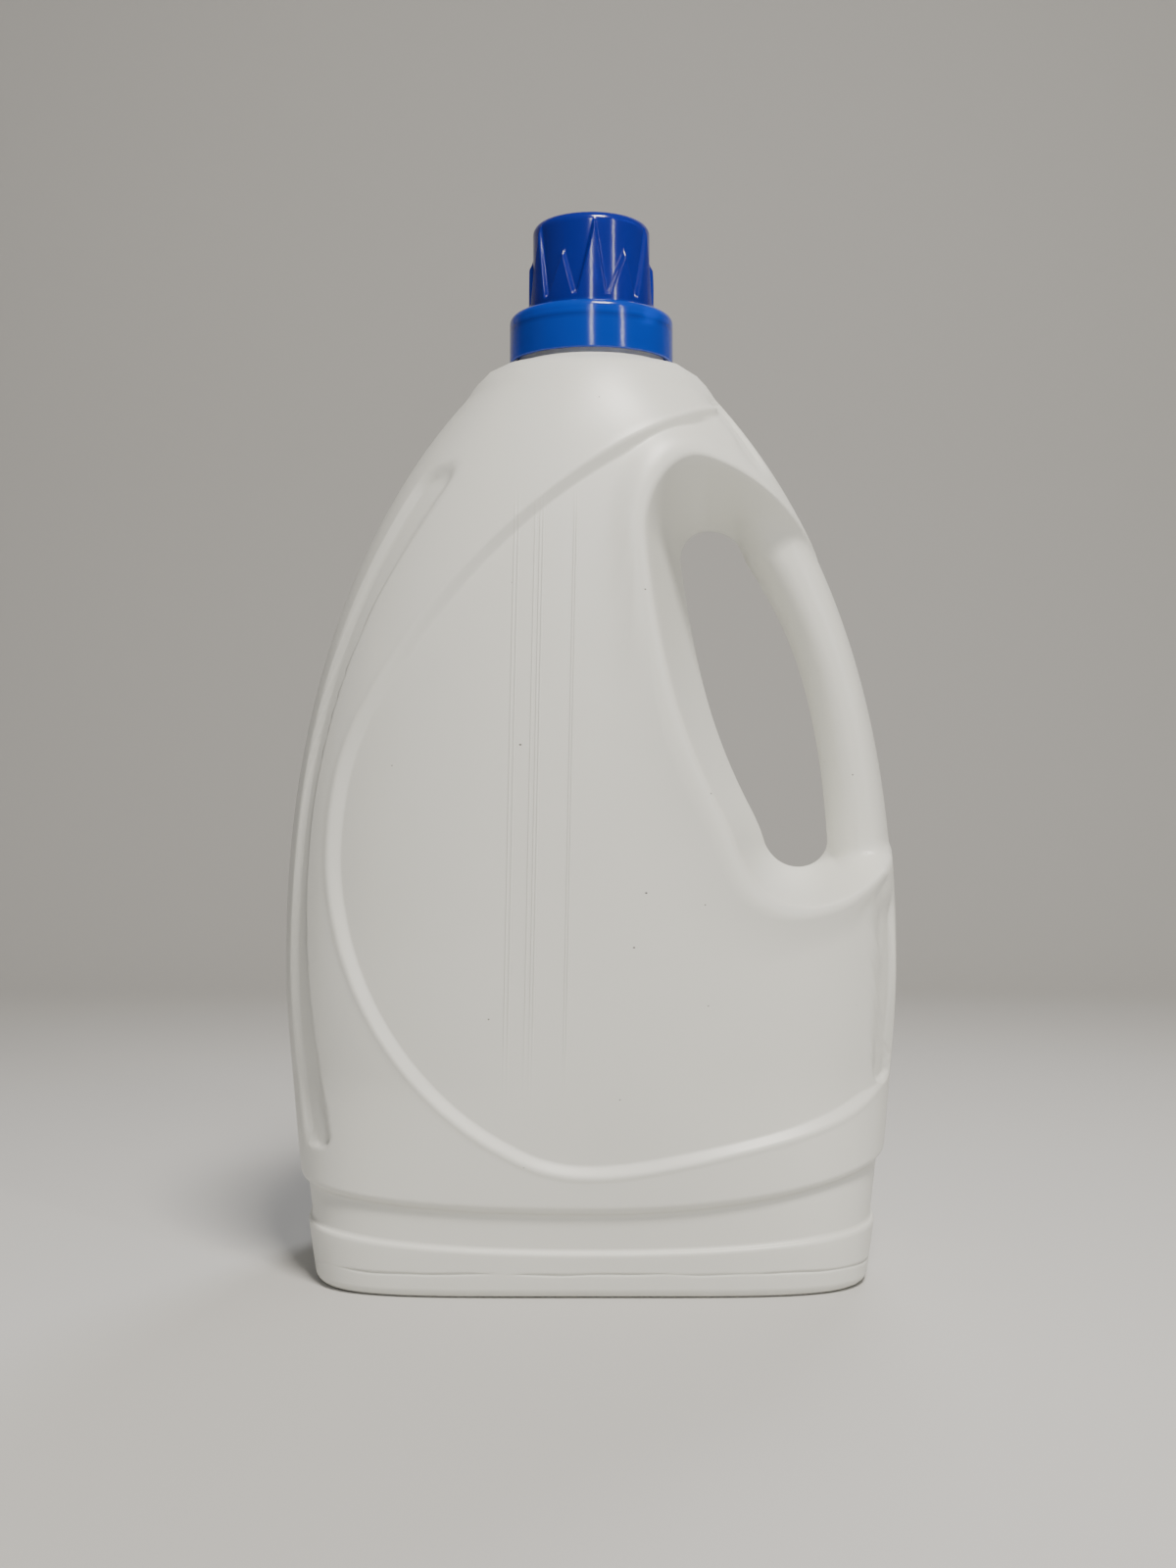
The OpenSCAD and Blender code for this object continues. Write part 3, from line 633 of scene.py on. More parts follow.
        def crossing(past, low, high):
            for _ in range(HALVINGS):
                s = (low + high) / 2
                p = along(s)[:, 0]
                over = past(p[:, 0], p[:, 1])
                low, high = np.where(over, low, s), np.where(over, s, high)
            return (low + high) / 2

        zero, one = np.zeros_like(k), np.ones_like(k)
        rim = crossing(lambda x, z: self.pocket(x, z, off) > self.oval(x, z, off), zero, LAST_RIM * one)
        last = np.interp(k, [AT_CORNER, AT_LOW, AT_HIGH, AT_NECK], LAST_PANEL)
        inner = crossing(lambda x, z: self.inside_panel(x, z) < PANEL_STEP + PANEL_EASE, rim, last)
        past_inner, past_last = inner + LEAST_STEP / 2, last + LEAST_STEP
        outer = crossing(lambda x, z: self.inside_panel(x, z) < -LIP_REACH, past_inner, past_last)
        marks = [zero, rim, inner, outer, one]
        shares = [zero[:, None]]
        for i, count in enumerate(counts):
            t = np.arange(1, count + 1) / count
            t = (spread(t), spread(t), t, np.sin(np.pi / 2 * t))[i]
            shares.append(marks[i][:, None] + (marks[i + 1] - marks[i])[:, None] * t)
        place = along(np.concatenate(shares, axis=1))
        flat = np.zeros(place.shape[:2], bool)
        flat[:, 0] = True
        flat[:, -1] = ((k >= AT_CORNER) & (k <= AT_NECK)) | ((k >= PAST_NECK) & (k <= AT_FAR))
        return self.points(place[..., 0], place[..., 1], 0, off, 0, flat)

    def base(self, off, top, rows):
        """Points of the rows under the fan, whose last ring is top, with a seam that wanders."""
        far, corner = np.arange(AT_FAR * DENSITY, SPOKES * DENSITY), np.arange(AT_CORNER * DENSITY + 1)
        k = np.concatenate([far, corner])
        x = self.outline_point(k / DENSITY, off)[:, 0]
        way = np.where(x < 0, -1, 1)
        share = x / self.end_place(FAN_ROW, off, way)
        flat = np.zeros(len(k), bool)
        flat[[0, -1]] = True
        lines = []
        for row in rows:
            place = share * self.end_place(row, off, way)
            wander = np.sin(place / WOBBLE_LONG) + 0.6 * np.sin(place / WOBBLE_SHORT + 1)
            at_seam = np.exp(-(((row.z - SEAM_Z) / MM) ** 2))
            height = self.row_height(row, place, off) + SEAM_WOBBLE * wander * at_seam
            inset = self.front_inset(row, place)
            lines.append(self.points(place, height, inset, off, np.full(len(k), row.down), flat))
        lines.append(top[k])
        return np.array(lines)


def grid_faces(rows, columns, first, closed):
    """Quads between the rows of a grid of points, closed round its rows or not."""
    i, j = np.meshgrid(np.arange(rows - 1 + closed), np.arange(columns - 1), indexing="ij")
    a = first + i * columns + j
    b = first + (i + 1) % rows * columns + j
    return np.stack([a, a + 1, b + 1, b], -1).reshape(-1, 4)


def mesh_piece(name, grids, material):
    """One piece from grids of points, each with a flag that closes it round its rows."""
    points, faces, first = [], [], 0
    for grid, closed in grids:
        rows, columns = grid.shape[:2]
        points.append(grid.reshape(-1, 3))
        faces.append(grid_faces(rows, columns, first, closed))
        first += rows * columns
    mesh = bpy.data.meshes.new(name)
    mesh.from_pydata(np.concatenate(points).tolist(), [], np.concatenate(faces).tolist())
    work = bmesh.new()
    work.from_mesh(mesh)
    bmesh.ops.remove_doubles(work, verts=work.verts, dist=WELD)
    bmesh.ops.dissolve_degenerate(work, edges=work.edges, dist=WELD)
    bmesh.ops.recalc_face_normals(work, faces=work.faces)
    work.to_mesh(mesh)
    work.free()
    mesh.shade_smooth()
    mesh.materials.append(material)
    piece = bpy.data.objects.new(name, mesh)
    bpy.context.scene.collection.objects.link(piece)
    return piece


def mirrored(grid):
    return grid * np.array([1, -1, 1])


def turned(r, z, angles):
    """Grid of points at radii and heights, turned from the handle over the front."""
    x = np.cos(angles)[:, None] * r
    y = -np.sin(angles)[:, None] * r
    return np.stack([x, y, np.broadcast_to(z, x.shape)], -1)


def revolved(profile, angles):
    """Grid of points of a turned profile, a list of radius and height."""
    return turned(*np.array(profile).T, angles)


def arc(r, z, size, start, stop, steps=8):
    """Points of radius and height on a round, with angles in degrees."""
    a = np.radians(np.linspace(start, stop, steps + 1))
    return list(zip(r + size * np.cos(a), z + size * np.sin(a)))


# Node trees

def node(tree, kind, values=None, links=None, **settings):
    """Adds a node with its settings, the values of its inputs and the links into them."""
    made = tree.nodes.new(kind)
    for name, value in settings.items():
        setattr(made, name, value)
    for name, value in (values or {}).items():
        made.inputs[name].default_value = value
    for name, source in (links or {}).items():
        tree.links.new(source, made.inputs[name])
    return made


def new_tree(name, inputs):
    """A geometry tree with named inputs; returns it with the outputs of its input node."""
    tree = bpy.data.node_groups.new(name, "GeometryNodeTree")
    tree.interface.new_socket("Geometry", in_out="INPUT", socket_type="NodeSocketGeometry")
    tree.interface.new_socket("Geometry", in_out="OUTPUT", socket_type="NodeSocketGeometry")
    for label, kind in inputs.items():
        tree.interface.new_socket(label, in_out="INPUT", socket_type="NodeSocket" + kind)
    return tree, node(tree, "NodeGroupInput").outputs


def end_tree(tree, geometry, material):
    """Ends a geometry tree with real, smooth geometry of one material."""
    for kind in ("GeometryNodeSetShadeSmooth", "GeometryNodeRealizeInstances"):
        geometry = node(tree, kind, links={"Geometry": geometry}).outputs["Geometry"]
    painted = node(tree, "GeometryNodeSetMaterial", links={"Geometry": geometry, "Material": material})
    node(tree, "NodeGroupOutput", links={"Geometry": painted.outputs["Geometry"]})
    return tree


def thread_tree():
    """A screw thread: a bead swept along a spiral, thin at both ends."""
    kinds = dict.fromkeys(("Radius", "Crest", "Pitch", "Turns", "Height"), "Float")
    tree, given = new_tree("screw_thread", kinds | {"Material": "Material"})
    rise = node(tree, "ShaderNodeMath", links={0: given["Pitch"], 1: given["Turns"]}, operation="MULTIPLY")
    spiral = node(tree, "GeometryNodeCurveSpiral", {"Resolution": 96}, {
        "Rotations": given["Turns"], "Start Radius": given["Radius"], "End Radius": given["Radius"],
        "Height": rise.outputs["Value"]})
    place = node(tree, "ShaderNodeCombineXYZ", links={"Z": given["Height"]})
    lifted = node(tree, "GeometryNodeTransform", links={
        "Geometry": spiral.outputs["Curve"], "Translation": place.outputs["Vector"]})
    along = node(tree, "GeometryNodeSplineParameter")
    from_end = node(tree, "ShaderNodeMath", {1: 0.5}, {0: along.outputs["Factor"]}, operation="PINGPONG")
    size = node(tree, "ShaderNodeMapRange", {"From Max": 0.05, "To Min": 0.15}, {
        "Value": from_end.outputs["Value"]})
    bead = node(tree, "GeometryNodeCurvePrimitiveCircle", {"Resolution": 12}, {"Radius": given["Crest"]})
    swept = node(tree, "GeometryNodeCurveToMesh", {"Fill Caps": True}, {
        "Curve": lifted.outputs["Geometry"], "Profile Curve": bead.outputs["Curve"],
        "Scale": size.outputs["Result"]})
    return end_tree(tree, swept.outputs["Mesh"], given["Material"])


def fleck_tree():
    """Dark flecks strewn over a surface, flat and of mixed sizes."""
    kinds = {"Density": "Float", "Seed": "Int", "Size": "Float", "Material": "Material"}
    tree, given = new_tree("surface_flecks", kinds)
    points = node(tree, "GeometryNodeDistributePointsOnFaces", links={
        "Mesh": given["Geometry"], "Density": given["Density"], "Seed": given["Seed"]})
    grain = node(tree, "GeometryNodeMeshIcoSphere", {"Subdivisions": 2}, {"Radius": given["Size"]})
    shape = {"Scale": (1, 0.55, 0.1)}
    flat = node(tree, "GeometryNodeTransform", shape, {"Geometry": grain.outputs["Mesh"]})
    size = node(tree, "FunctionNodeRandomValue", {"Min": 0.3, "Max": 1}, {"Seed": given["Seed"]})
    strewn = node(tree, "GeometryNodeInstanceOnPoints", links={
        "Points": points.outputs["Points"], "Instance": flat.outputs["Geometry"],
        "Rotation": points.outputs["Rotation"], "Scale": size.outputs[1]})
    return end_tree(tree, strewn.outputs["Instances"], given["Material"])


def grown(name, field, tree, values):
    """The piece that a geometry tree makes on a field or on nothing, with its inputs set by name."""
    if field is None:
        field = bpy.data.objects.new(name, bpy.data.meshes.new(name))
        bpy.context.scene.collection.objects.link(field)
    field.name = name
    modifier = field.modifiers.new(tree.name, "NODES")
    modifier.node_group = tree
    for item in tree.interface.items_tree:
        if item.in_out == "INPUT" and item.name in values:
            modifier[item.identifier] = values[item.name]
    graph = bpy.context.evaluated_depsgraph_get()
    mesh = bpy.data.meshes.new_from_object(field.evaluated_get(graph))
    field.modifiers.remove(modifier)
    mesh.name = name
    field.data = mesh
    return field


# Materials

def new_material(name, values):
    """A material with surface values; returns it with its tree, surface and object coordinates."""
    material = bpy.data.materials.new(name)
    material.use_nodes = True
    tree = material.node_tree
    surface = tree.nodes["Principled BSDF"]
    for label, value in values.items():
        surface.inputs[label].default_value = value
    return material, tree, surface, node(tree, "ShaderNodeTexCoord").outputs["Object"]


# Half width of the parting line
PARTING_HALF = 0.35 * MM

# Places across of the upright lines that the die left, in millimetres at the ground, their lean and
# half width, and the heights over which they fade in and out
DIE_LINES = (-26, -24.9, -20.2, -18.8, -17.9, -9.2, -8.5)
DIE_LEAN = 0.02
DIE_HALF = 0.4 * MM
DIE_LOW = {"From Min": 55 * MM, "From Max": 85 * MM}
DIE_HIGH = {"From Min": 228 * MM, "From Max": 214 * MM}


def fine_line(tree, distance, half):
    """Height of a fine raised line from the distance to its middle, to either side."""
    off = node(tree, "ShaderNodeMath", links={0: distance}, operation="ABSOLUTE")
    line = node(tree, "ShaderNodeMapRange", {"From Max": half, "To Min": 1, "To Max": 0}, {
        "Value": off.outputs["Value"]}, interpolation_type="SMOOTHSTEP")
    return line.outputs["Result"]


def die_lines(tree, parts):
    """Height of the fine upright lines on the parison, over the label panel alone."""
    lean = node(tree, "ShaderNodeMath", {1: DIE_LEAN}, {0: parts["Z"]}, operation="MULTIPLY")
    across = node(tree, "ShaderNodeMath", links={
        0: parts["X"], 1: lean.outputs["Value"]}, operation="SUBTRACT")
    height = node(tree, "ShaderNodeValue").outputs["Value"]
    for x in DIE_LINES:
        gap = node(tree, "ShaderNodeMath", {1: x * MM}, {0: across.outputs["Value"]}, operation="SUBTRACT")
        line = fine_line(tree, gap.outputs["Value"], DIE_HALF)
        both = node(tree, "ShaderNodeMath", links={0: height, 1: line}, operation="MAXIMUM")
        height = both.outputs["Value"]
    low = node(tree, "ShaderNodeMapRange", DIE_LOW, {"Value": parts["Z"]})
    high = node(tree, "ShaderNodeMapRange", DIE_HIGH, {"Value": parts["Z"]})
    zone = node(tree, "ShaderNodeMath", links={
        0: low.outputs["Result"], 1: high.outputs["Result"]}, operation="MULTIPLY")
    shown = node(tree, "ShaderNodeMath", links={0: height, 1: zone.outputs["Value"]}, operation="MULTIPLY")
    return shown.outputs["Value"]


def blown_hdpe(settings):
    """High-density polyethylene, pigmented white and blown: satin, with die lines and a parting line."""
    material, tree, surface, place = new_material("blown_hdpe_satin_white", {
        "Roughness": 0.38, "IOR": 1.54, "Subsurface Weight": 0.1,
        "Subsurface Radius": (1, 0.95, 0.85), "Subsurface Scale": 1.5 * MM})
    parts = node(tree, "ShaderNodeSeparateXYZ", links={"Vector": place}).outputs
    cloud = node(tree, "ShaderNodeTexNoise", {"Scale": 1 / (60 * MM), "Detail": 3}, {"Vector": place})
    colours = {"A": (*settings.shell, 1), "B": (*[c * 0.94 for c in settings.shell], 1)}
    tone = node(tree, "ShaderNodeMix", colours, {"Factor": cloud.outputs["Fac"]}, data_type="RGBA")
    tree.links.new(tone.outputs["Result"], surface.inputs["Base Color"])
    wave = node(tree, "ShaderNodeTexNoise", {"Scale": 1 / (22 * MM), "Detail": 1}, {"Vector": place})
    peel = node(tree, "ShaderNodeTexNoise", {"Scale": 1 / (1.4 * MM), "Detail": 2}, {"Vector": place})
    layers = (
        (wave.outputs["Fac"], 0.12 * MM),
        (die_lines(tree, parts), 0.14 * MM),
        (fine_line(tree, parts["Y"], PARTING_HALF), 0.1 * MM),
        (peel.outputs["Fac"], 0.012 * MM),
    )
    normal = None
    for height, depth in layers:
        bump = node(tree, "ShaderNodeBump", {"Strength": 1, "Distance": depth}, {"Height": height})
        if normal:
            tree.links.new(normal, bump.inputs["Normal"])
        normal = bump.outputs["Normal"]
    tree.links.new(normal, surface.inputs["Normal"])
    return material


def burnt_speck(settings):
    """Burnt polymer: a dark, matt speck moulded into the white."""
    material, tree, surface, place = new_material("burnt_hdpe_speck", {"Roughness": 0.6})
    grain = node(tree, "ShaderNodeTexNoise", {"Scale": 1 / (0.3 * MM), "Detail": 1}, {"Vector": place})
    colours = {"A": (*settings.fleck, 1), "B": (*[c * 0.6 for c in settings.fleck], 1)}
    tone = node(tree, "ShaderNodeMix", colours, {"Factor": grain.outputs["Fac"]}, data_type="RGBA")
    tree.links.new(tone.outputs["Result"], surface.inputs["Base Color"])
    return material


# Painted light on the cap from 10 mm below the skirt's top to 10 mm above it: the skirt takes the painted
# backlit tint, with a painted darker line and a painted lighter band just below its top; columns: place,
# of the skirt, brightness
TONE_REACH = 10 * MM
PAINTED_LIGHT_TONES = (
    (0.2, True, 1), (0.27, True, 0.7), (0.33, True, 1.1), (0.45, True, 1), (0.6, False, 1)
)


def tinted_pp(settings, skirt_top):
    """Clear polypropylene, tinted a strong blue and moulded glossy, lit through its thin walls; the
    skirt's brighter tint and the bands near its top are painted light.
    """
    material, tree, surface, place = new_material("moulded_pp_clear_blue", {
        "Roughness": 0.14, "IOR": 1.49, "Transmission Weight": 0.35})
    wave = node(tree, "ShaderNodeTexNoise", {"Scale": 1 / (7 * MM), "Detail": 1}, {"Vector": place})
    bump = node(tree, "ShaderNodeBump", {"Strength": 1, "Distance": 0.05 * MM}, {
        "Height": wave.outputs["Fac"]})
    tree.links.new(bump.outputs["Normal"], surface.inputs["Normal"])
    height = node(tree, "ShaderNodeSeparateXYZ", links={"Vector": place}).outputs["Z"]
    limits = {"From Min": skirt_top - TONE_REACH, "From Max": skirt_top + TONE_REACH}
    share = node(tree, "ShaderNodeMapRange", limits, {"Value": height})
    tone = node(tree, "ShaderNodeValToRGB", links={"Fac": share.outputs["Result"]})
    stops = tone.color_ramp.elements
    # Painted light: the skirt's stops use the painted backlit tint, made darker or lighter for the painted
    # line and band
    for at, backlit_stop, part in PAINTED_LIGHT_TONES:
        tint = settings.painted_backlight_tint if backlit_stop else settings.tint
        stops.new(at).color = (*[c * part for c in tint], 1)
    stops[0].color = (*settings.painted_backlight_tint, 1)
    stops[-1].color = (*settings.tint, 1)
    tree.links.new(tone.outputs["Color"], surface.inputs["Base Color"])
    return material


def natural_pe(settings):
    """Unpigmented polyethylene, moulded: milky, soft and slightly see-through."""
    material, tree, surface, place = new_material("moulded_pe_natural", {
        "Base Color": (*settings.natural, 1), "Roughness": 0.45, "IOR": 1.52, "Subsurface Weight": 0.4,
        "Subsurface Radius": (1, 1, 1), "Subsurface Scale": 3 * MM})
    grain = node(tree, "ShaderNodeTexNoise", {"Scale": 1 / (0.9 * MM), "Detail": 2}, {"Vector": place})
    bump = node(tree, "ShaderNodeBump", {"Strength": 1, "Distance": 0.01 * MM}, {
        "Height": grain.outputs["Fac"]})
    tree.links.new(bump.outputs["Normal"], surface.inputs["Normal"])
    return material


def studio_paper(settings):
    """Matt studio paper: pale, with a barely visible fibre."""
    material, tree, surface, place = new_material("studio_paper_matt", {
        "Base Color": (*settings.paper, 1), "Roughness": 0.9})
    fibre = node(tree, "ShaderNodeTexNoise", {"Scale": 1 / (2 * MM), "Detail": 3}, {"Vector": place})
    bump = node(tree, "ShaderNodeBump", {"Strength": 0.3, "Distance": 0.05 * MM}, {
        "Height": fibre.outputs["Fac"]})
    tree.links.new(bump.outputs["Normal"], surface.inputs["Normal"])
    return material


class BOTTLE_OT_shell(Operator):
    """Build the blown bottle with its handle, relief and neck"""

    bl_idname = "bottle.shell"
    bl_label = "Blown Bottle"

    def execute(self, context):
        s = context.scene.bottle_settings
        form = BlownForm(s)
        outer = form.fan(0, OUTER_RINGS)
        inner = form.fan(s.wall, INNER_RINGS)
        rows = form.rows()
        grids = []
        for fan, off, chosen, bead in ((outer, 0, rows, PINCH_H), (inner, s.wall, rows[::4], 0)):
            base = form.base(off, fan[:, -1], chosen)
            grids += [(fan, True), (mirrored(fan), True), (base, False), (mirrored(base), False)]
            grids.append((self.pinch_off(base[0], bead), False))
        steps = (PAST_NECK - AT_NECK) * DENSITY
        neck = revolved(self.neck_profile(s, form), np.pi * np.arange(steps + 1) / steps)
        grids += [(neck, False), (mirrored(neck), False)]
        plastic = blown_hdpe(s)
        piece = mesh_piece("bottle_shell", grids, plastic)
        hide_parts("bottle")
        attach(piece, "jug")
        thread = grown("neck_thread", None, thread_tree(), {
            "Radius": form.neck_r, "Crest": 0.7 * MM, "Pitch": s.thread_pitch, "Turns": 1.75,
            "Height": s.shoulder_z + 4 * MM, "Material": plastic})
        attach(thread, "jug")
        field = mesh_piece("fleck_field", [(outer, True), (mirrored(outer), True)], plastic)
        flecks = grown("shell_flecks", field, fleck_tree(), {
            "Density": s.fleck_density, "Seed": s.fleck_seed, "Size": s.fleck_size,
            "Material": burnt_speck(s)})
        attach(flecks, "jug")
        return {"FINISHED"}

    def neck_profile(self, s, form):
        """Radius and height from the shoulder up the neck, over its rim and down its bore."""
        low, top = s.shoulder_z, s.shoulder_z + s.neck_h
        bore = form.neck_r - NECK_WALL
        profile = [(form.land_r, low), (form.land_r - LAND_ROUND, low + LAND_RISE)]
        profile += arc(form.neck_r + NECK_ROUND, low + NECK_FOOT, NECK_ROUND, 270, 180, 6)
        profile += arc(form.neck_r - EDGE_R, top - EDGE_R, EDGE_R, 0, 90, 4)
        profile += arc(bore + EDGE_R, top - EDGE_R, EDGE_R, 90, 180, 4)
        profile += [(bore, low + NECK_ROUND), (bore + BORE_FLARE, low), (form.land_r - s.wall, low)]
        return profile

    def pinch_off(self, edge, height):
        """Rows across the middle of the base, with the bead left where the mould shut the parison."""
        share = np.array([1, 0.1, 0.06, 0.04, 0.02, 0, -0.02, -0.04, -0.06, -0.1, -1])[:, None]
        x, y, z = edge.T
        drop = height * np.exp(-((share / PINCH_W) ** 2)) * ramp(-y / PINCH_RUN)
        return np.stack([x + 0 * share, y * share, z - drop], -1)


class BOTTLE_OT_cap(Operator):
    """Build the dosing cap with its screw skirt and the pointed leaves round its cup"""

    bl_idname = "bottle.cap"
    bl_label = "Dosing Cap"

    def execute(self, context):
        s = context.scene.cap_settings
        low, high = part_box("dosing_cap")
        skirt_z, cap_top = low.z, high.z
        skirt_r, cup_r = s.skirt_d / 2, s.cup_d / 2
        skirt_top = cap_top - CUP_H
        web_z = skirt_top - CAP_WALL
        rim_z = web_z - RIM_DROP
        angles = 2 * np.pi * np.arange(CAP_STEPS) / CAP_STEPS
        outside = arc(skirt_r - EDGE_R, skirt_z + EDGE_R, EDGE_R, 270, 360, 4)
        outside += arc(skirt_r - SKIRT_ROUND, skirt_top - SKIRT_ROUND, SKIRT_ROUND, 0, 90, 10)
        foot = cup_r + s.leaf_proud + CUP_FOOT
        outside += [(foot + EDGE_R, skirt_top)]
        outside += arc(foot, skirt_top + CUP_FOOT, CUP_FOOT, 270, 180, 5)
        wall_z = np.linspace(skirt_top + CUP_FOOT, cap_top - CUP_ROUND, LEAF_ROWS)
        crown = arc(cup_r - CUP_ROUND, cap_top - CUP_ROUND, CUP_ROUND, 0, 90, 10)[1:]
        crown += [(cup_r - TOP_FLAT, cap_top), (0, cap_top)]
        inside = [(0, cap_top - CAP_WALL)]
        inner = CAP_WALL + CUP_INNER_R
        inside += arc(cup_r - inner, cap_top - inner, CUP_INNER_R, 90, 0, 6)
        inside += [(cup_r - CAP_WALL, rim_z + RIM_R), (cup_r - CAP_WALL + RIM_R, rim_z)]
        inside += [(cup_r - RIM_R, rim_z), (cup_r, rim_z + RIM_R), (cup_r, web_z)]
        bore = skirt_r - SKIRT_WALL
        inside += [(bore, web_z), (bore, skirt_z + EDGE_R), (bore + EDGE_R, skirt_z), outside[0]]
        wall_r = cup_r + self.leaf_relief(s, angles, wall_z, skirt_top + NOTCH_RISE, cap_top)
        wall = turned(wall_r, wall_z, angles)
        grid = np.concatenate([revolved(outside, angles), wall, revolved(crown + inside, angles)], axis=1)
        plastic = tinted_pp(s, skirt_top)
        piece = mesh_piece("dosing_cap_clear", [(grid, True)], plastic)
        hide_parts("dosing_cap")
        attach(piece, "cap")
        thread = grown("skirt_thread", None, thread_tree(), {
            "Radius": bore, "Crest": 0.6 * MM, "Pitch": s.thread_pitch, "Turns": 1.5,
            "Height": skirt_z + 3 * MM, "Material": plastic})
        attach(thread, "cap")
        return {"FINISHED"}

    def leaf_relief(self, s, angles, z, notch_z, cap_top):
        """Height of the leaves over the cup: tall and short in turn, with points that lean one way."""
        pitch = 2 * np.pi / s.leaf_count
        from_front = angles - np.pi / 2
        index = np.round(from_front / pitch)
        tall = (index % 2 == 0)[:, None]
        r = s.cup_d / 2 + s.leaf_proud
        across = -((from_front - index * pitch) * r)[:, None]
        tip_z = np.where(tall, cap_top - TALL_DROP, cap_top - SHORT_DROP)
        up = np.clip((z - notch_z) / (tip_z - notch_z), 0, LEAF_PAST)
        half = (pitch / 2 * r - LEAF_GAP) * (1 - up)
        edge = half - np.abs(across - s.leaf_lean * up * (1 - LEAF_BOW * up))
        below = (notch_z - z) + 0 * across
        inside = np.maximum(edge * LEAF_SLOPE, below)
        return s.leaf_proud * ramp(inside / LEAF_EDGE + 0.5) * (1 - LEAF_THIN * np.clip(up, 0, 1))


class BOTTLE_OT_spout(Operator):
    """Build the pour spout in the neck: flange, drain well and slanted pouring tube"""

    bl_idname = "bottle.spout"
    bl_label = "Pour Spout"

    def execute(self, context):
        s = context.scene.spout_settings
        low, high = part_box("pour_spout")
        well_z, flange_r = low.z, high.x
        neck_top = well_z + s.well_depth
        plug_r = flange_r - FLANGE_LEDGE
        soft, deep = EDGE_R, 2 * EDGE_R
        lap_r = s.tube_d / 2 - s.wall + TUBE_LAP
        flange_top = neck_top + FLANGE_T - soft
        well = [(lap_r, well_z)]
        well += arc(plug_r - soft, well_z + soft, soft, 270, 360, 4)
        well += [(plug_r, neck_top)]
        well += arc(flange_r - soft, neck_top + soft, soft, 270, 360, 4)
        well += arc(flange_r - soft, flange_top, soft, 0, 90, 4)
        well += arc(plug_r - s.wall + soft, flange_top, soft, 90, 180, 4)
        well += arc(plug_r - s.wall - deep, well_z + s.wall + deep, deep, 0, -90, 5)
        well += [(lap_r, well_z + s.wall), well[0]]
        ring = revolved(well, 2 * np.pi * np.arange(SPOUT_STEPS) / SPOUT_STEPS)
        tube = self.tube(s, well_z + TUBE_FOOT, neck_top)
        piece = mesh_piece("pour_spout_moulded", [(ring, True), (tube, False)], natural_pe(s))
        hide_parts("pour_spout")
        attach(piece, "jug")
        return {"FINISHED"}

    def tube(self, s, foot_z, neck_top):
        """Grid of points of the tube: open at its drain slot, with a slanted, rounded lip."""
        inner, outer = s.tube_d / 2 - s.wall, s.tube_d / 2
        half_slot = math.asin(s.drain_w / 2 / outer)
        turn = np.linspace(half_slot, 2 * np.pi - half_slot, SPOUT_STEPS + 1)
        top = neck_top + s.lip_low + (s.lip_high - s.lip_low) * (1 - np.cos(turn)) / 2
        round_r = s.wall / 2
        rim = arc(inner + round_r, 0, round_r, 0, 180, 8)
        across = np.array([outer] + [r for r, _ in rim] + [inner, outer])
        foot = np.full_like(top, foot_z)
        upright = np.stack([foot] + [top - round_r + z for _, z in rim] + [foot, foot], -1)
        tube = turned(across, upright, turn)
        ends = [np.broadcast_to(tube[i].mean(axis=0), tube[i].shape) for i in (0, -1)]
        return np.concatenate([ends[0][None], tube, ends[1][None]])


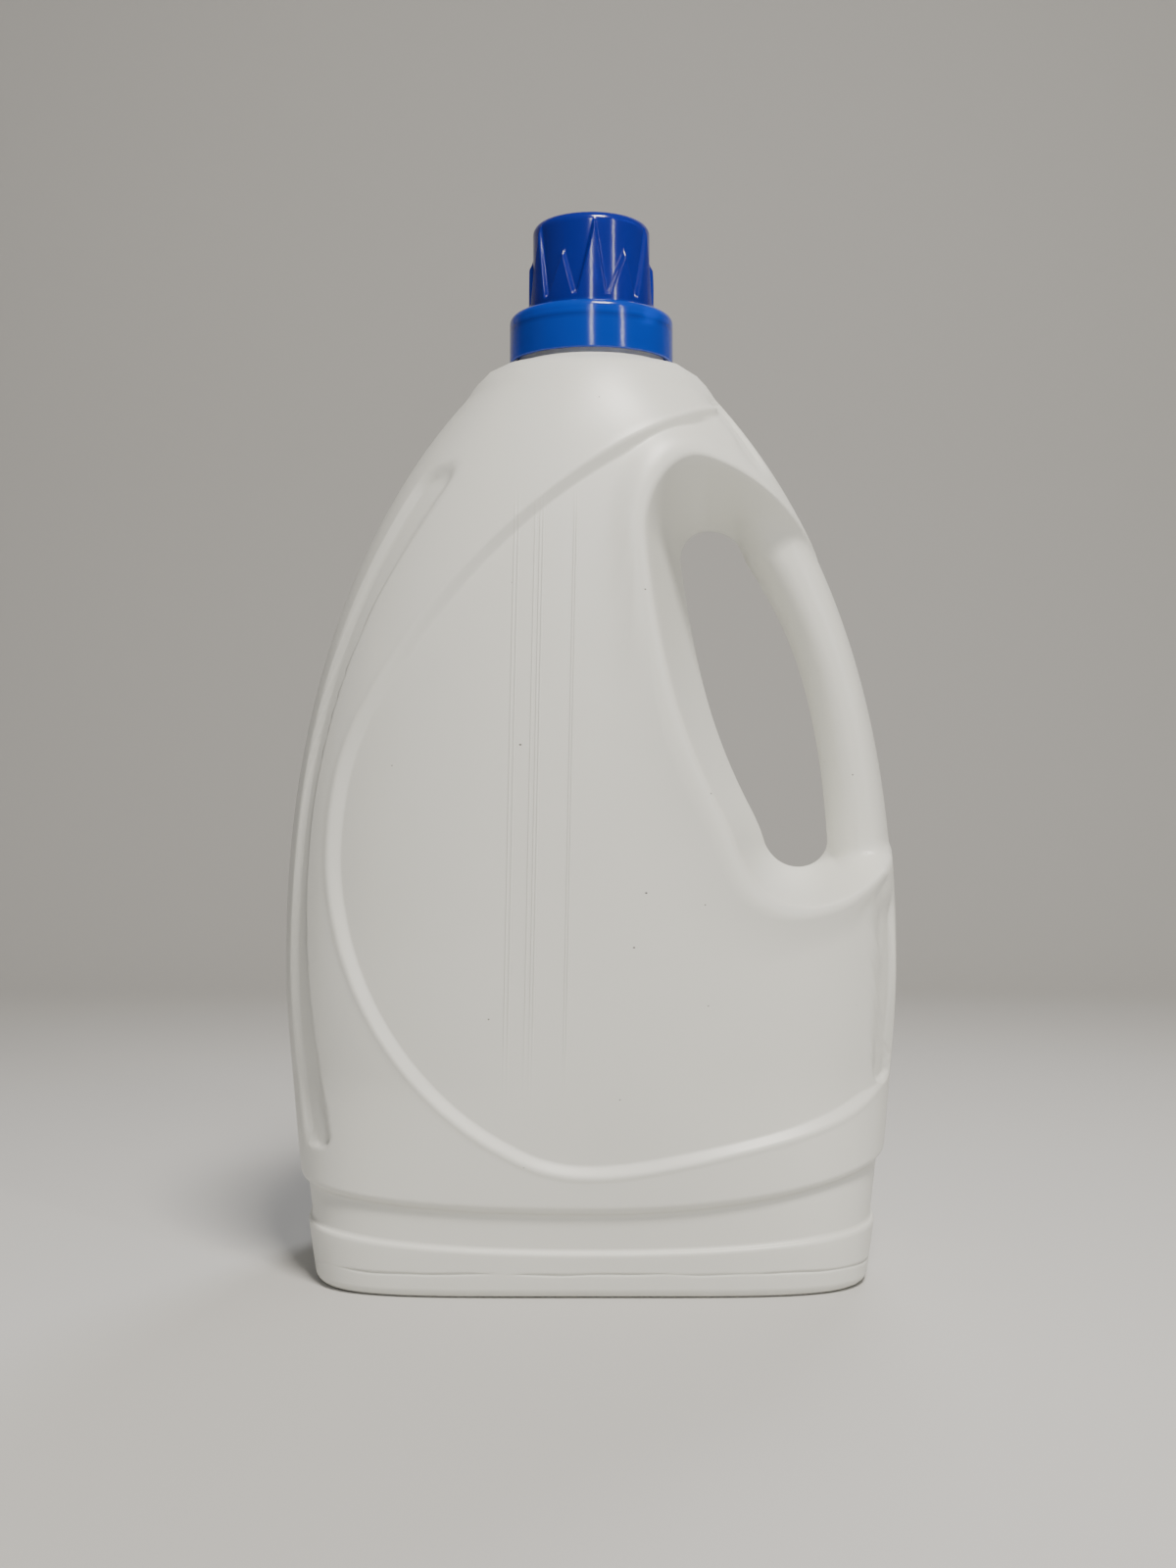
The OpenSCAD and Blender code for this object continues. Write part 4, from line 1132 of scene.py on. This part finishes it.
class BOTTLE_OT_stage(Operator):
    """Lay the studio paper, place the lights and set the camera"""

    bl_idname = "bottle.stage"
    bl_label = "Studio Stage"

    def execute(self, context):
        s = context.scene.stage_settings
        scene = context.scene
        paper = [(PAPER_FRONT, 0), (PAPER_BEND, 0)]
        for a in np.linspace(0.1, np.pi / 2, 16):
            paper.append((PAPER_BEND + PAPER_R * math.sin(a), PAPER_R - PAPER_R * math.cos(a)))
        paper += [(PAPER_BEND + PAPER_R, PAPER_TOP)]
        grid = np.array([[(x, y, z) for y, z in paper] for x in (-PAPER_HALF, PAPER_HALF)])
        floor = mesh_piece("studio_paper", [(grid, False)], studio_paper(s))
        world = bpy.data.worlds.new("studio_air")
        world.use_nodes = True
        air = world.node_tree.nodes["Background"].inputs
        air["Color"].default_value = (*linear("#f4f4f6"), 1)
        air["Strength"].default_value = 0.08
        scene.world = world
        lights = [
            ("key_softbox", (0.26, -0.66, 1.4), (0.4, 0.3), 28, "#fff9f0", 180, True),
            ("front_strip", (0.0, -1.25, 0.62), (0.045, 0.9), 3.6, "#ffffff", 180, True),
            ("side_strip", (0.95, -1.0, 0.55), (0.035, 0.9), 3.4, "#fffdf8", 180, True),
            ("fill_softbox", (-1.25, -0.35, 0.5), (0.5, 0.9), 0.6, "#eef3ff", 180, False),
            ("back_softbox", (0.3, 0.9, 1.0), (0.4, 0.4), 1.0, "#f6f8ff", 60, False),
        ]
        for name, place, size, power, code, beam, mirrored_by_gloss in lights:
            lamp = bpy.data.lights.new(name, "AREA")
            lamp.shape = "RECTANGLE"
            lamp.size, lamp.size_y = size
            lamp.energy = power
            lamp.spread = math.radians(beam)
            lamp.color = linear(code)
            holder = bpy.data.objects.new(name, lamp)
            holder.visible_glossy = mirrored_by_gloss
            holder.location = place
            holder.rotation_euler = (AIM - Vector(place)).to_track_quat("-Z", "Y").to_euler()
            scene.collection.objects.link(holder)
        camera = bpy.data.cameras.new("photo_camera")
        camera.lens = s.lens
        camera.sensor_width = SENSOR
        camera.clip_start = 0.01
        holder = bpy.data.objects.new("photo_camera", camera)
        holder.location = (s.eye_x, -s.distance, s.eye_z)
        holder.rotation_euler = (math.pi / 2, 0, 0)
        scene.collection.objects.link(holder)
        scene.camera = holder
        return {"FINISHED"}


class BOTTLE_PT_panel(Panel):
    """Sizes, colours and pieces of the bottle"""

    bl_idname = "BOTTLE_PT_panel"
    bl_label = "Fabric Softener Bottle"
    bl_space_type = "VIEW_3D"
    bl_region_type = "UI"
    bl_category = "Bottle"

    def draw(self, context):
        for name in GROUPS:
            box = self.layout.box()
            settings = getattr(context.scene, name)
            for key in settings.__annotations__:
                box.prop(settings, key)
        for operator in OPERATORS:
            self.layout.operator(operator.bl_idname)


GROUPS = {
    "bottle_settings": BottleSettings,
    "cap_settings": CapSettings,
    "spout_settings": SpoutSettings,
    "stage_settings": StageSettings,
}
OPERATORS = (BOTTLE_OT_shell, BOTTLE_OT_spout, BOTTLE_OT_cap, BOTTLE_OT_stage)
CLASSES = (*GROUPS.values(), *OPERATORS, BOTTLE_PT_panel)


def register():
    for cls in CLASSES:
        bpy.utils.register_class(cls)
    for name, group in GROUPS.items():
        setattr(bpy.types.Scene, name, PointerProperty(type=group))


def unregister():
    for name in GROUPS:
        delattr(bpy.types.Scene, name)
    for cls in reversed(CLASSES):
        bpy.utils.unregister_class(cls)


def main():
    register()
    bpy.ops.bottle.shell()
    bpy.ops.bottle.spout()
    bpy.ops.bottle.cap()
    bpy.ops.bottle.stage()


if __name__ == "__main__":
    main()
